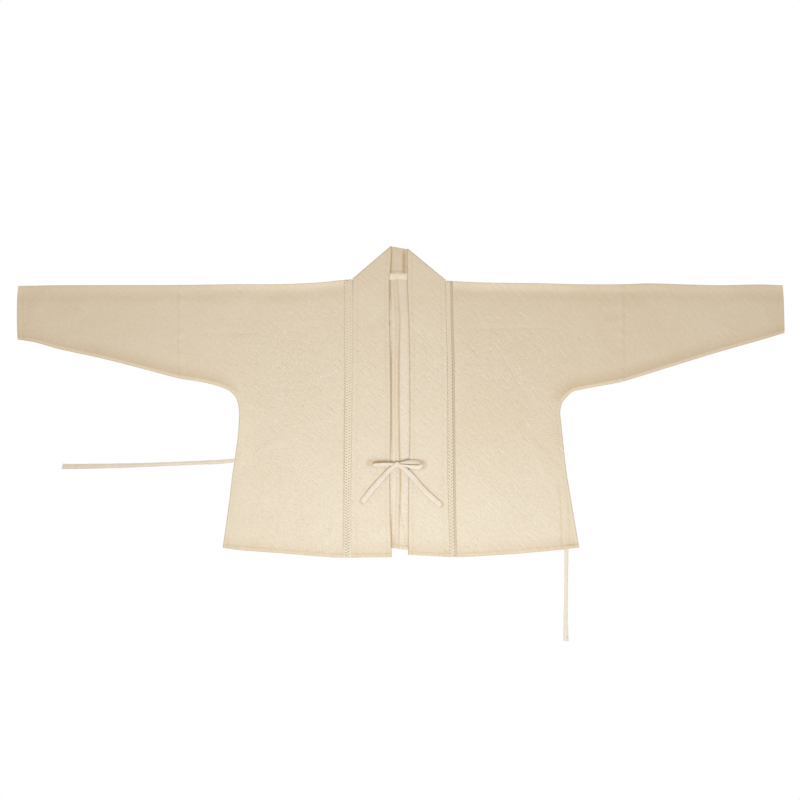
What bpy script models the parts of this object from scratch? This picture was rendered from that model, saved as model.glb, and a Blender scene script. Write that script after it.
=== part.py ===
"""A hanfu jacket laid flat with its front up: body halves, sleeve ends, collar band, braid trims and ties.

The tables are in millimetres, seen from above: x runs across, y runs from hem to shoulder, z is up.
Left and right are those of someone looking down at the front.
"""
import math

import bpy
import numpy as np
from mathutils import Vector
from mathutils.geometry import delaunay_2d_cdt

MM = 0.001

# Thickness of each cloth
CLOTH = 1.2
BAND = 1.6
TIE = 1.1
BRAID = 0.8
BRAID_RIB = 0.7
GAP = 0.3

# Space between the back cloth and the front cloth
MID_GAP = 2.0
FOLD_GAP = 1.0
SEAM_GAP = 0.35
CUFF_SHARE = 0.6
CUFF_REACH = 30.0
FOLD_STEPS = 4
FRONT_HEM_LIFT = 0.6
HEM_FALL = 19.0

# Folded edges: how far the flat cloth stops from the edge, the most that the rounded fold stands out
FOLD_INSET = 1.7
FOLD_REACH = 1.1

# How the front cloth rises from its folded and sewn edges: distance from the edge, share of the rise
ROLL = [(FOLD_INSET, 0.0), (10.0, 0.62), (26.0, 1.0)]

# Mesh spacing
FOLD_STEP = 24.0
SIDE_STEP = 14.0
OPEN_STEP = 34.0
CUFF_STEP = 16.0
CROSS_POINTS = 8
NECK_POINTS = 4
LATTICE = 62.0
BACK_LATTICE = 95.0
LATTICE_MARGIN = 41.0
RING_MARGIN = 5.0
RING_SHARE = 0.7
RING_SPACING = 6.0

# Upright seams where the sleeve ends join the body
SLEEVE_SEAM = {"left": -445.2, "right": 446.8}

# Shoulder and sleeve fold, from cuff to neck: x, y
FOLD = {
    "left": [(-764.2, 231.8), (-681.0, 233.3), (-441.0, 233.8), (-321.0, 235.4), (-241.0, 235.4),
             (-161.0, 239.1), (-121.0, 243.2), (-96.4, 245.0)],
    "right": [(764.0, 233.2), (718.8, 234.8), (638.8, 233.4), (558.8, 235.2), (498.8, 237.0),
              (438.8, 235.2), (358.8, 235.2), (278.8, 237.2), (158.8, 239.0), (91.6, 242.4)],
}

# Underside of the sleeve, armpit and side seam, from cuff to hem: x, y
UNDERSIDE = {
    "left": [(-765.9, 124.6), (-731.2, 119.0), (-681.2, 105.0), (-601.2, 87.6), (-521.2, 67.4),
             (-441.2, 46.4), (-401.2, 40.2), (-361.2, 30.2), (-341.2, 20.8), (-329.8, 8.2),
             (-325.0, -4.2), (-323.0, -28.2), (-326.4, -76.2), (-336.8, -148.2), (-342.4, -196.2),
             (-355.8, -291.6)],
    "right": [(767.8, 138.0), (718.8, 123.2), (638.8, 100.4), (558.8, 76.0), (478.8, 50.9),
              (438.8, 39.4), (398.8, 31.6), (362.8, 24.9), (344.0, 20.0), (331.0, 8.2),
              (322.4, -4.2), (319.1, -20.2), (320.9, -40.2), (331.2, -136.2), (338.9, -184.2),
              (357.0, -291.0)],
}

# Cuffs, from the underside up: y, x
CUFF = {
    "left": [(124.6, -765.9), (150.0, -766.8), (180.0, -767.2), (212.0, -766.3), (231.8, -764.2)],
    "right": [(138.0, 767.8), (176.0, 766.8), (212.0, 765.5), (233.2, 764.0)],
}

# Hems: x, y
FRONT_HEM = [(-355.8, -291.6), (-321.2, -296.4), (-241.2, -302.6), (-161.2, -309.2), (-121.2, -311.4),
             (-19.0, -310.4), (14.8, -305.6), (38.8, -307.8), (78.8, -309.6), (118.8, -310.2),
             (158.8, -308.5), (238.8, -303.1), (318.8, -295.8), (357.0, -291.0)]
BACK_HEM = [(-355.8, -291.6), (-180.0, -292.8), (-12.0, -292.8), (6.0, -295.8), (180.0, -293.0),
            (357.0, -291.0)]

# Below the lines' last row
HEM_Y = -300.0

# Lines of the front: each braid's outer side, the collar seams, the two front edges, the centre back seam
LINES = ("y", "braid_left", "seam_left", "edge_left", "centre_back", "edge_right", "seam_right",
         "braid_right")
FRONT_LINES = [
    (312, -112.8, -96.0, -19.4, -6.4, 14.0, 90.0, 104.0),
    (238, -112.8, -96.0, -22.4, -6.4, 12.9, 90.0, 104.0),
    (164, -113.0, -95.6, -22.2, -1.4, 16.4, 90.8, 105.4),
    (84, -113.0, -96.2, -20.4, -3.4, 18.0, 93.4, 107.6),
    (4, -112.8, -96.8, -19.6, -3.6, 18.2, 94.0, 108.4),
    (-76, -114.0, -98.2, -20.2, -2.8, 18.3, 94.2, 109.2),
    (-166, -114.8, -98.8, -21.6, 0.0, 15.8, 94.4, 110.0),
    (-236, -115.6, -99.6, -20.6, -2.6, 15.2, 96.4, 111.2),
    (-296, -116.0, -98.4, -18.0, -3.8, 14.8, 98.8, 112.8),
]

# Ends of the collar's two slanting folds: at the neck corner, at the top
COLLAR_FOLD = {
    "left": [(-96.4, 246.2), (-19.4, 312.2)],
    "right": [(91.0, 243.4), (14.2, 306.9)],
}
COLLAR_COLUMNS = 5
COLLAR_STEP = 32.0
COLLAR_DIP = 34.0
COLLAR_GAP = 0.6
NECK_BLEND = 0.9

# Braid
RIB_PITCH = 7.0
RIB_SLANT = 4.5
BRAID_END = 1.5

# Tie inside the right side seam: the side is held open for it, between these heights
ROOM_STARTS = -60.0
ROOM_FULL = -108.0

# Ties: x, y, lift off what it lies on, width, tilt in degrees
TIE_SIDE_LEFT = [(-333.4, -117.2, 0.9, 7.2, 0), (-361.2, -119.9, 0.3, 8.2, 0), (-401.2, -121.6, 0.1, 7.8, 0),
                 (-481.2, -125.0, 0.1, 7.8, 0), (-561.2, -127.5, 0.1, 9.0, 0), (-641.2, -129.0, 0.1, 10.2, 0),
                 (-676.8, -129.2, 0.1, 10.4, 0)]
TIE_INNER_RIGHT = [(322.4, -114.0, 1.6, 7.6, 0), (325.2, -152.2, 1.6, 9.0, 0), (328.4, -196.2, 1.6, 9.0, 0),
                   (330.4, -236.2, 1.6, 9.0, 0), (331.4, -286.0, 1.6, 8.6, 0), (331.6, -322.0, 0.1, 8.2, 0),
                   (331.0, -400.2, 0.1, 8.4, 0), (330.2, -436.2, 0.1, 9.4, 0), (330.6, -478.2, 0.1, 10.4, 0)]
TAIL_LEFT = [(-16.0, -131.0, 0.3, 5.5, 0), (-24.2, -138.8, 0.3, 9.0, 0), (-41.2, -157.8, 0.3, 11.2, 0),
             (-58.2, -177.0, 0.3, 11.4, 0), (-75.6, -200.0, 0.3, 11.6, 0)]
TAIL_RIGHT = [(0.6, -129.4, 0.3, 5.0, 0), (9.8, -135.0, 0.3, 7.8, 0), (20.8, -146.2, 0.3, 10.6, 0),
              (33.8, -162.2, 0.3, 11.2, 0), (48.8, -178.6, 0.3, 11.2, 0), (64.8, -193.4, 0.3, 11.2, 0),
              (80.4, -206.4, 0.3, 11.4, 0)]
LOOP_LEFT = [(-15.0, -124.2, 0.3, 4.6, 0), (-26.0, -124.6, 0.5, 7.6, 0), (-40.0, -125.2, 1.4, 8.0, 0),
             (-53.0, -126.0, 2.8, 7.8, 0), (-55.8, -126.2, 4.2, 7.6, 0), (-53.0, -126.0, 5.6, 7.8, 0),
             (-40.0, -125.2, 5.9, 8.0, 0), (-26.0, -124.6, 4.9, 7.6, 0), (-15.0, -124.2, 2.6, 4.6, 0)]
LOOP_RIGHT = [(-0.6, -121.6, 1.9, 3.2, 8), (6.0, -121.2, 1.9, 5.0, 16), (14.8, -120.4, 1.0, 8.4, 24),
              (26.0, -120.0, 0.3, 9.4, 26), (36.0, -120.6, 0.3, 9.4, 34), (43.0, -125.6, 0.3, 9.4, 62),
              (36.0, -130.8, 0.3, 9.4, 34), (25.0, -130.4, 0.3, 9.0, 26), (13.8, -128.2, 1.9, 6.0, 18),
              (6.0, -126.6, 1.9, 4.0, 12), (-0.6, -126.0, 1.9, 3.2, 8)]
ROOT_LEFT = [(-20.4, -124.4, 0.0, 8.0, 0), (-12.9, -124.4, 0.0, 7.0, 0)]
ROOT_RIGHT = [(16.7, -124.6, 0.0, 8.0, 0), (-2.9, -124.6, 0.0, 7.0, 0)]
ROOT_DROP = 1.35
RIBBON_STEP = 12.0
LOOP_STEP = 5.0

# A tie that runs steeper than this keeps the side it had
LEVEL_ENOUGH = 0.3

# Knot: middle, half sizes
KNOT_MIDDLE = (-7.6, -124.8, 6.3)
KNOT_HALF = (6.4, 5.2, 2.9)
KNOT_AROUND = 12
KNOT_UP = 6

# Where the collar band's height under the bow is taken
BOW_PLACE = (-60.0, -124.0)

ROUGHNESS = 0.85
COLOURS = {"cloth": (0.80, 0.72, 0.57), "braid": (0.76, 0.70, 0.56), "tie": (0.84, 0.78, 0.65)}


def clear_scene():
    """Removes what the scene holds."""
    for obj in list(bpy.data.objects):
        bpy.data.objects.remove(obj, do_unlink=True)


def fabric(name):
    """A plain cloth material in one of the jacket's colours."""
    material = bpy.data.materials.get(name) or bpy.data.materials.new(name)
    material.use_nodes = True
    shader = material.node_tree.nodes["Principled BSDF"]
    shader.inputs["Base Color"].default_value = (*COLOURS[name], 1.0)
    shader.inputs["Roughness"].default_value = ROUGHNESS
    shader.inputs["Metallic"].default_value = 0.0
    return material


def add_solid(name, points, faces, material):
    """One closed object from points in millimetres."""
    mesh = bpy.data.meshes.new(name)
    mesh.from_pydata([tuple(c * MM for c in p) for p in points], [], faces)
    mesh.validate()
    obj = bpy.data.objects.new(name, mesh)
    bpy.context.collection.objects.link(obj)
    obj.data.materials.append(fabric(material))
    return obj


class Curve:
    """A smooth curve through the rows of a table, measured by its length in the first two columns."""

    def __init__(self, rows, fine=16):
        rows = np.array(rows, float)
        ends = np.vstack([2 * rows[0] - rows[1], rows, 2 * rows[-1] - rows[-2]])
        points = []
        for i in range(1, len(ends) - 2):
            for t in np.arange(fine) / fine:
                points.append(self.between(ends[i - 1:i + 3], t))
        points.append(rows[-1])
        self.points = np.array(points)
        steps = np.linalg.norm(np.diff(self.points[:, :3], axis=0), axis=1)
        self.lengths = np.concatenate([[0.0], np.cumsum(steps)])

    @staticmethod
    def between(four, t):
        """A point between the middle two of four rows: a cubic whose slopes suit uneven spacing."""
        before, start, end, after = four
        spans = ((before, start), (start, end), (end, after))
        gaps = [max(np.linalg.norm((b - a)[:2]), 1e-6) for a, b in spans]
        slope_in = gaps[1] * (end - before) / (gaps[0] + gaps[1])
        slope_out = gaps[1] * (after - start) / (gaps[1] + gaps[2])
        h = (2 * t**3 - 3 * t**2 + 1, t**3 - 2 * t**2 + t, -2 * t**3 + 3 * t**2, t**3 - t**2)
        return h[0] * start + h[1] * slope_in + h[2] * end + h[3] * slope_out

    def at(self, length):
        """The row at a length along the curve."""
        return np.array([np.interp(length, self.lengths, column) for column in self.points.T])

    def where(self, column, value):
        """The length at which a column first reaches a value."""
        side = np.sign(self.points[:, column] - value)
        crossing = np.nonzero(side[:-1] * side[1:] <= 0)[0][0]
        a, b = self.points[crossing, column], self.points[crossing + 1, column]
        share = 0.0 if a == b else (value - a) / (b - a)
        return self.lengths[crossing] + share * (self.lengths[crossing + 1] - self.lengths[crossing])

    def run(self, start, end, step):
        """Rows evenly spaced from one length to another, both ends included."""
        count = max(1, round(abs(end - start) / step))
        return [self.at(s) for s in np.linspace(start, end, count + 1)]


def line_at(name, y):
    """The x of one of the front's lines at a height."""
    rows = sorted(FRONT_LINES)
    column = LINES.index(name)
    return float(np.interp(y, [row[0] for row in rows], [row[column] for row in rows]))


def table_at(rows, value):
    """The second column at a value of the first, straight between rows."""
    rows = sorted(rows)
    return float(np.interp(value, [row[0] for row in rows], [row[1] for row in rows]))


SIDES = ("left", "right")
FOLD_CURVES = {side: Curve(FOLD[side]) for side in SIDES}
UNDER_CURVES = {side: Curve(UNDERSIDE[side]) for side in SIDES}
CUFF_CURVES = {side: Curve([(x, y) for y, x in CUFF[side]]) for side in SIDES}
FRONT_HEM_CURVE = Curve(FRONT_HEM)
BACK_HEM_CURVE = Curve(BACK_HEM)


def nearest(curve, x, y):
    """The distance from a place to a curve."""
    return float(np.min(np.hypot(curve.points[:, 0] - x, curve.points[:, 1] - y)))


def seam_gap(x, y):
    """The space between the cloths at a side seam: the right one lies over its tie."""
    if x < 0:
        return SEAM_GAP
    share = min(1.0, max(0.0, (ROOM_STARTS - y) / (ROOM_STARTS - ROOM_FULL)))
    return SEAM_GAP + share * (MID_GAP - SEAM_GAP)


def hollow(x, y):
    """The space between the back cloth and the front cloth at a place."""
    side = "left" if x < 0 else "right"
    share_fold = table_at(ROLL, nearest(FOLD_CURVES[side], x, y))
    share_seam = table_at(ROLL, nearest(UNDER_CURVES[side], x, y))
    gap = min(FOLD_GAP + share_fold * (MID_GAP - FOLD_GAP),
              seam_gap(x, y) + share_seam * (MID_GAP - seam_gap(x, y)))
    from_cuff = abs(abs(x) - abs(CUFF[side][1][1]))
    near_cuff = max(0.0, 1.0 - from_cuff / CUFF_REACH)
    return gap * (1.0 - (1.0 - CUFF_SHARE) * near_cuff)


def front_under(x, y):
    """The height of the front cloth's underside, which drops to the floor past the shorter back."""
    height = CLOTH + hollow(x, y)
    past = table_at(BACK_HEM, x) - y
    drop = min(1.0, max(0.0, past / HEM_FALL))
    return height + drop * (FRONT_HEM_LIFT - height)


def front_middle(x, y):
    """The height of the middle of the front cloth."""
    return front_under(x, y) + CLOTH / 2


def inside(points, outline):
    """Whether each point lies in an outline."""
    points, outline = np.asarray(points, float), np.asarray(outline, float)
    found = np.zeros(len(points), bool)
    for a, b in zip(outline, np.roll(outline, -1, axis=0)):
        if a[1] == b[1]:
            continue
        spans = (points[:, 1] > min(a[1], b[1])) & (points[:, 1] <= max(a[1], b[1]))
        cross = a[0] + (points[:, 1] - a[1]) * (b[0] - a[0]) / (b[1] - a[1])
        found ^= spans & (points[:, 0] < cross)
    return found


def clearance(point, outline):
    """The distance from a point to the sides of an outline."""
    a = np.asarray(outline, float)
    b = np.roll(a, -1, axis=0)
    along = b - a
    share = np.clip(((point - a) * along).sum(1) / np.maximum((along**2).sum(1), 1e-9), 0, 1)
    return float(np.min(np.linalg.norm(a + along * share[:, None] - point, axis=1)))


def lattice_points(outline, spacing, margin):
    """Points of a square lattice well inside an outline."""
    low, high = np.min(outline, axis=0), np.max(outline, axis=0)
    xs = np.arange(low[0] + spacing / 2, high[0], spacing)
    ys = np.arange(low[1] + spacing / 2, high[1], spacing)
    grid = np.array([(x, y) for x in xs for y in ys])
    grid = grid[inside(grid, outline)]
    return [p for p in grid if clearance(p, outline) > margin]


def fill_outline(outline, loose):
    """Triangles, anticlockwise from above, over an outline and its loose inner points."""
    points = [Vector(p[:2]) for p in outline] + [Vector(p[:2]) for p in loose]
    edges = [(i, (i + 1) % len(outline)) for i in range(len(outline))]
    found, _, faces, origins, _, _ = delaunay_2d_cdt(points, edges, [], 1, 1e-6)
    back = [origin[0] for origin in origins]
    assert len(found) == len(points)
    return [tuple(back[i] for i in face) for face in faces]


def thicken(middle, normals, faces, thickness):
    """Points and faces of the closed wall round a sheet: an outer side, an inner side and the rims."""
    middle, normals = np.array(middle, float), np.array(normals, float)
    half = np.broadcast_to(thickness, (len(middle),))[:, None] / 2
    points = np.vstack([middle + normals * half, middle - normals * half])
    count = len(middle)
    walls = [tuple(face) for face in faces] + [tuple(i + count for i in reversed(face)) for face in faces]
    edges = {}
    for face in faces:
        for a, b in zip(face, face[1:] + face[:1]):
            edges[(a, b)] = True
    for a, b in edges:
        if (b, a) not in edges:
            walls.append((b, a, a + count, b + count))
    return points, walls


def outward(points, side):
    """Flat unit normals along a line of points: to its right where side is 1, to its left where it is -1."""
    points = np.array([p[:2] for p in points])
    along = np.gradient(points, axis=0)
    along /= np.linalg.norm(along, axis=1)[:, None]
    normals = np.stack([along[:, 1], -along[:, 0]], axis=1)
    return normals * side


def two_layers(name, first_chain, front_first, back_first, second_chain, front_second, back_second,
               turn, front_rings=()):
    """A front and a back cloth, joined along two chains by rounded folds, open along their other edges.

    The outline runs along the first chain, an open edge, the second chain and another open edge.
    turn is 1 where it runs clockwise from above, and -1 where it runs the other way.
    """
    chains = []
    for chain in (first_chain, second_chain):
        normals = outward(chain, -turn)
        gaps = [front_under(p[0], p[1]) - CLOTH for p in chain]
        reach = [min((CLOTH + gap) / 2, FOLD_REACH) for gap in gaps]
        inset = [np.array(p[:2]) - n * (r + CLOTH / 2) for p, n, r in zip(chain, normals, reach)]
        chains.append({"normals": normals, "gaps": gaps, "reach": reach, "inset": inset, "points": chain})

    middle, directions, faces, places = [], [], [], []
    for layer, opens in (("front", (front_first, front_second)), ("back", (back_first, back_second))):
        outline, spots = [], []
        for chain, opened in zip(chains, opens):
            spots.append(len(outline))
            outline += list(chain["inset"])
            outline += [np.array(p[:2]) for p in opened]
        if layer == "front":
            loose = [p for p in front_rings
                     if clearance(p, outline) > RING_MARGIN and inside([p], outline)[0]]
            for chain in chains:
                for distance, _ in ROLL[1:]:
                    ring = [np.array(p[:2]) - n * distance for p, n in zip(chain["points"], chain["normals"])]
                    margin = RING_SHARE * distance
                    loose += [p for p in ring if clearance(p, outline) > margin and inside([p], outline)[0]]
            loose = thin_out(loose, RING_SPACING)
            loose += lattice_points(outline, LATTICE, LATTICE_MARGIN)
        else:
            loose = lattice_points(outline, BACK_LATTICE, LATTICE_MARGIN)
        triangles = fill_outline(outline, loose)
        base = len(middle)
        for p in outline + loose:
            height = front_middle(p[0], p[1]) if layer == "front" else CLOTH / 2
            middle.append((p[0], p[1], height))
            directions.append((0, 0, 1 if layer == "front" else -1))
        for a, b, c in triangles:
            face = (base + a, base + b, base + c)
            faces.append(face if layer == "front" else face[::-1])
        places.append([base + spot for spot in spots])

    for number, chain in enumerate(chains):
        columns = []
        for i, (inset, normal, gap, reach) in enumerate(
                zip(chain["inset"], chain["normals"], chain["gaps"], chain["reach"])):
            front, back = places[0][number] + i, places[1][number] + i
            rise = (CLOTH + gap) / 2
            middle[front] = (inset[0], inset[1], CLOTH / 2 + 2 * rise)
            column = [front]
            for step in range(1, FOLD_STEPS):
                angle = math.pi * step / FOLD_STEPS
                out, up = math.sin(angle), math.cos(angle)
                column.append(len(middle))
                middle.append((*(inset + normal * reach * out), CLOTH / 2 + rise + rise * up))
                slope = np.array([*(normal * out / reach), up / rise])
                directions.append(slope / np.linalg.norm(slope))
            columns.append(column + [back])
        for left, right in zip(columns, columns[1:]):
            for step in range(FOLD_STEPS):
                face = (left[step], left[step + 1], right[step + 1], right[step])
                faces.append(face if turn < 0 else face[::-1])
    points, walls = thicken(middle, directions, faces, CLOTH)
    return add_solid(name, points, walls, "cloth")


def thin_out(points, spacing):
    """The points that keep a distance from those before them."""
    kept = []
    for p in points:
        if all(np.hypot(*(p - q)) > spacing for q in kept):
            kept.append(p)
    return kept


def body_half(side):
    """One cloth: the front from the collar seam to the side, and the back, over the shoulder fold."""
    sign = -1 if side == "left" else 1
    seam = SLEEVE_SEAM[side] - sign * GAP / 2
    fold, under = FOLD_CURVES[side], UNDER_CURVES[side]
    top = fold.run(fold.where(0, seam), fold.lengths[-1], FOLD_STEP)
    down = under.run(under.where(0, seam), under.lengths[-1], SIDE_STEP)

    neck = top[-1][1]
    heights = np.linspace(neck, HEM_Y, round((neck - HEM_Y) / OPEN_STEP))[1:-1]
    centre = [(line_at("seam_" + side, y) + sign * GAP / 2, y) for y in heights]
    hem_x = line_at("seam_" + side, HEM_Y) + sign * GAP / 2
    hem = hem_run(FRONT_HEM_CURVE, hem_x, down[-1][0])
    front_open = centre + hem

    middle_x = [line_at("centre_back", y) + sign * GAP / 2 for y in heights]
    neck_x = line_at("centre_back", neck) + sign * GAP / 2
    neckline = [(x, neck_seam(x) - GAP) for x in np.linspace(top[-1][0], neck_x, NECK_POINTS)[1:]]
    back_x = line_at("centre_back", HEM_Y) + sign * GAP / 2
    back_hem = hem_run(BACK_HEM_CURVE, back_x, down[-1][0])
    back_open = neckline + list(zip(middle_x, heights)) + back_hem

    sleeve_edge = [(seam, y) for y in np.linspace(down[0][1], top[0][1], CROSS_POINTS)[1:-1]]
    ring_x = np.arange(abs(hem_x), abs(down[-1][0]), OPEN_STEP)
    rings = [np.array((sign * x, table_at(BACK_HEM, sign * x))) for x in ring_x]
    two_layers("body_" + side, top, front_open, back_open, down[::-1], sleeve_edge, sleeve_edge,
               -sign, rings)


def hem_run(curve, start_x, end_x):
    """A hem's points from the middle of the jacket outwards, without the one at the side seam."""
    xs = np.linspace(start_x, end_x, round(abs(end_x - start_x) / OPEN_STEP) + 1)[:-1]
    return [(x, curve.at(curve.where(0, x))[1]) for x in xs]


def sleeve_end(side):
    """One cloth, folded along the top and sewn along the underside."""
    sign = -1 if side == "left" else 1
    seam = SLEEVE_SEAM[side] + sign * GAP / 2
    fold, under, cuff = FOLD_CURVES[side], UNDER_CURVES[side], CUFF_CURVES[side]
    top = fold.run(0.0, fold.where(0, seam), FOLD_STEP)
    bottom = under.run(0.0, under.where(0, seam), FOLD_STEP)
    seam_edge = [(seam, y) for y in np.linspace(top[-1][1], bottom[-1][1], CROSS_POINTS)[1:-1]]
    cuff_edge = cuff.run(0.0, cuff.lengths[-1], CUFF_STEP)[1:-1]
    rings = [np.array((p[0] - sign * CUFF_REACH, p[1])) for p in cuff_edge]
    two_layers("sleeve_" + side, top, seam_edge, seam_edge, bottom[::-1], cuff_edge, cuff_edge, -sign, rings)


def collar_fold(side):
    """One slanting fold of the collar: its ends, and its directions along and outwards."""
    a, b = np.array(COLLAR_FOLD[side])
    along = (b - a) / np.linalg.norm(b - a)
    out = np.array((along[1], -along[0])) * (-1 if side == "left" else 1)
    return a, b, along, out


def neck_seam(x):
    """The y of the band's lower edge behind the neck."""
    corners = []
    for side in SIDES:
        start, _, _, out = collar_fold(side)
        corners.append(start - out * (BAND + COLLAR_GAP / 2))
    (x0, y0), (x1, y1) = corners
    return y0 + (y1 - y0) * (x - x0) / (x1 - x0)


def collar_middle(x, y, side):
    """The height of the middle of the band's front stretches: they dip to their slanting folds."""
    a, _, along, _ = collar_fold(side)
    distance = abs(along[0] * (y - a[1]) - along[1] * (x - a[0]))
    high = front_under(x, y) + BAND / 2
    low = BAND / 2 + BAND + COLLAR_GAP
    return low + (high - low) * min(1.0, distance / COLLAR_DIP)


def collar_band():
    """One band from hem to hem, folded back at both sides of the neck and running behind it."""
    shares = np.linspace(0, 1, COLLAR_COLUMNS)
    rows, normals = [], []
    reach = (BAND + COLLAR_GAP) / 2
    for side in SIDES:
        sign = -1 if side == "left" else 1
        a, b, _, out = collar_fold(side)
        tops = [a + (b - a) * share for share in shares]
        insets = [p - out * (reach + BAND / 2) for p in tops]
        stretch, facing = [], []
        seam_hem, edge_hem = hem_y(side, "seam_"), hem_y(side, "edge_")
        for step in np.linspace(0, 1, round((a[1] - seam_hem) / COLLAR_STEP) + 1):
            row = []
            for share, top in zip(shares, insets):
                y = (seam_hem + (edge_hem - seam_hem) * share) * (1 - step) + top[1] * step
                seam = line_at("seam_" + side, y) - sign * GAP / 2
                edge = line_at("edge_" + side, y)
                x = seam + (edge - seam) * share
                x += (top[0] - x) * max(0.0, (step - NECK_BLEND) / (1 - NECK_BLEND))
                row.append((x, y, collar_middle(x, y, side)))
            stretch.append(row)
            facing.append([(0, 0, 1)] * COLLAR_COLUMNS)
        for turn in range(1, FOLD_STEPS + 1):
            angle = math.pi * turn / FOLD_STEPS
            sine, cosine = math.sin(angle), math.cos(angle)
            stretch.append([(*(p + out * reach * sine), BAND / 2 + reach * (1 + cosine)) for p in insets])
            facing.append([(*(out * sine), cosine)] * COLLAR_COLUMNS)
        if side == "left":
            rows, normals = stretch, facing
        else:
            start, end = rows[-1], stretch[-1]
            for step in (0.33, 0.67):
                rows.append([tuple(np.array(p) * (1 - step) + np.array(q) * step)
                             for p, q in zip(start, end)])
                normals.append([(0, 0, -1)] * COLLAR_COLUMNS)
            rows += stretch[::-1]
            normals += facing[::-1]
    count = COLLAR_COLUMNS
    faces = [(i * count + j, i * count + j + 1, (i + 1) * count + j + 1, (i + 1) * count + j)
             for i in range(len(rows) - 1) for j in range(count - 1)]
    points, walls = thicken(sum(rows, []), sum(normals, []), faces, BAND)
    add_solid("collar_band", points, walls, "cloth")


def hem_y(side, line):
    """The front hem's height at the end of a collar seam or a front edge."""
    x = line_at(line + side, HEM_Y)
    return FRONT_HEM_CURVE.at(FRONT_HEM_CURVE.where(0, x))[1]


def trim(side):
    """A braid on the front panel along the collar seam: raised slanting ribs that meet in its middle."""
    sign = -1 if side == "left" else 1
    top, bottom = FOLD_CURVES[side].points[-1][1] - BRAID_END, hem_y(side, "seam_")
    count = 2 * round((top - bottom) / RIB_PITCH)
    upper, lower = [], []
    for i in range(count + 1):
        plain = i in (0, count)
        y = bottom + (top - bottom) * i / count
        raised = 0.0 if plain or i % 2 == 0 else BRAID_RIB
        seam = line_at("seam_" + side, y) + sign * GAP / 2
        outer = line_at("braid_" + side, y)
        slant = 0.0 if plain else RIB_SLANT * min(1.0, i / 3, (count - i) / 3)
        across = sorted((outer, seam))
        row = []
        for x, dy in ((across[0], 0.0), (sum(across) / 2, -slant), (across[1], 0.0)):
            base = front_under(x, y + dy) + CLOTH + GAP
            row.append((x, y + dy, base + BRAID + raised))
        upper.append(row)
        lower.append([(x, y, front_under(x, y) + CLOTH + GAP) for x in across])
    points = sum(upper, []) + sum(lower, [])
    base = 3 * (count + 1)
    faces = []
    for i in range(count):
        a, b = 3 * i, 3 * (i + 1)
        c, d = base + 2 * i, base + 2 * (i + 1)
        faces += [(a, a + 1, b + 1, b), (a + 1, a + 2, b + 2, b + 1)]
        faces += [(c, d, d + 1, c + 1), (a, b, d, c), (a + 2, c + 1, d + 1, b + 2)]
    faces.append((0, base, base + 1, 2, 1))
    last, low = 3 * count, base + 2 * count
    faces.append((last, last + 1, last + 2, low + 1, low))
    add_solid("trim_" + side, points, faces, "braid")


def ribbon(name, table, floor, step):
    """A flat tie along a table's rows: its lower edge lies at the floor's height plus the row's lift."""
    curve = Curve(with_heights(table, floor))
    rows = curve.run(0.0, curve.lengths[-1], step)
    places = np.array([row[:3] for row in rows])
    tangents = np.gradient(places, axis=0)
    points, side = [], None
    for place, tangent, row in zip(places, tangents, rows):
        tangent = tangent / np.linalg.norm(tangent)
        width, tilt = row[3], math.radians(row[4])
        flat = np.array((-tangent[1], tangent[0], 0.0))
        if side is None or np.linalg.norm(flat) > LEVEL_ENOUGH:
            flat /= np.linalg.norm(flat)
            side = -flat if side is not None and np.dot(flat, side) < 0 else flat
        across = side * math.cos(tilt) - np.array((0, 0, math.sin(tilt)))
        normal = np.cross(tangent, across)
        for w, n in ((1, 1), (-1, 1), (-1, -1), (1, -1)):
            points.append(place + across * w * width / 2 + normal * n * TIE / 2)
    faces = [(3, 2, 1, 0)]
    for i in range(len(rows) - 1):
        a, b = 4 * i, 4 * (i + 1)
        faces += [(a + j, a + (j + 1) % 4, b + (j + 1) % 4, b + j) for j in range(4)]
    last = 4 * (len(rows) - 1)
    faces.append((last, last + 1, last + 2, last + 3))
    return add_solid(name, points, faces, "tie")


def with_heights(table, floor):
    """The table's rows with the height of the tie's middle in the third column."""
    rows = []
    for x, y, lift, width, tilt in table:
        slope = math.radians(tilt)
        rise = width / 2 * math.sin(slope) + TIE / 2 * math.cos(slope)
        rows.append((x, y, floor + lift + rise, width, tilt))
    return rows


def knot():
    """The bow's knot, a plain rounded lump."""
    points = [(KNOT_MIDDLE[0], KNOT_MIDDLE[1], KNOT_MIDDLE[2] + KNOT_HALF[2])]
    for i in range(1, KNOT_UP):
        polar = math.pi * i / KNOT_UP
        for j in range(KNOT_AROUND):
            turn = 2 * math.pi * j / KNOT_AROUND
            unit = (math.sin(polar) * math.cos(turn), math.sin(polar) * math.sin(turn), math.cos(polar))
            points.append(tuple(m + h * u for m, h, u in zip(KNOT_MIDDLE, KNOT_HALF, unit)))
    points.append((KNOT_MIDDLE[0], KNOT_MIDDLE[1], KNOT_MIDDLE[2] - KNOT_HALF[2]))
    faces, last = [], len(points) - 1
    for j in range(KNOT_AROUND):
        k = (j + 1) % KNOT_AROUND
        faces.append((0, 1 + j, 1 + k))
        for i in range(KNOT_UP - 2):
            a, b = 1 + i * KNOT_AROUND, 1 + (i + 1) * KNOT_AROUND
            faces.append((a + j, b + j, b + k, a + k))
        end = 1 + (KNOT_UP - 2) * KNOT_AROUND
        faces.append((end + j, last, end + k))
    add_solid("bow_knot", points, faces, "tie")


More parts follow.
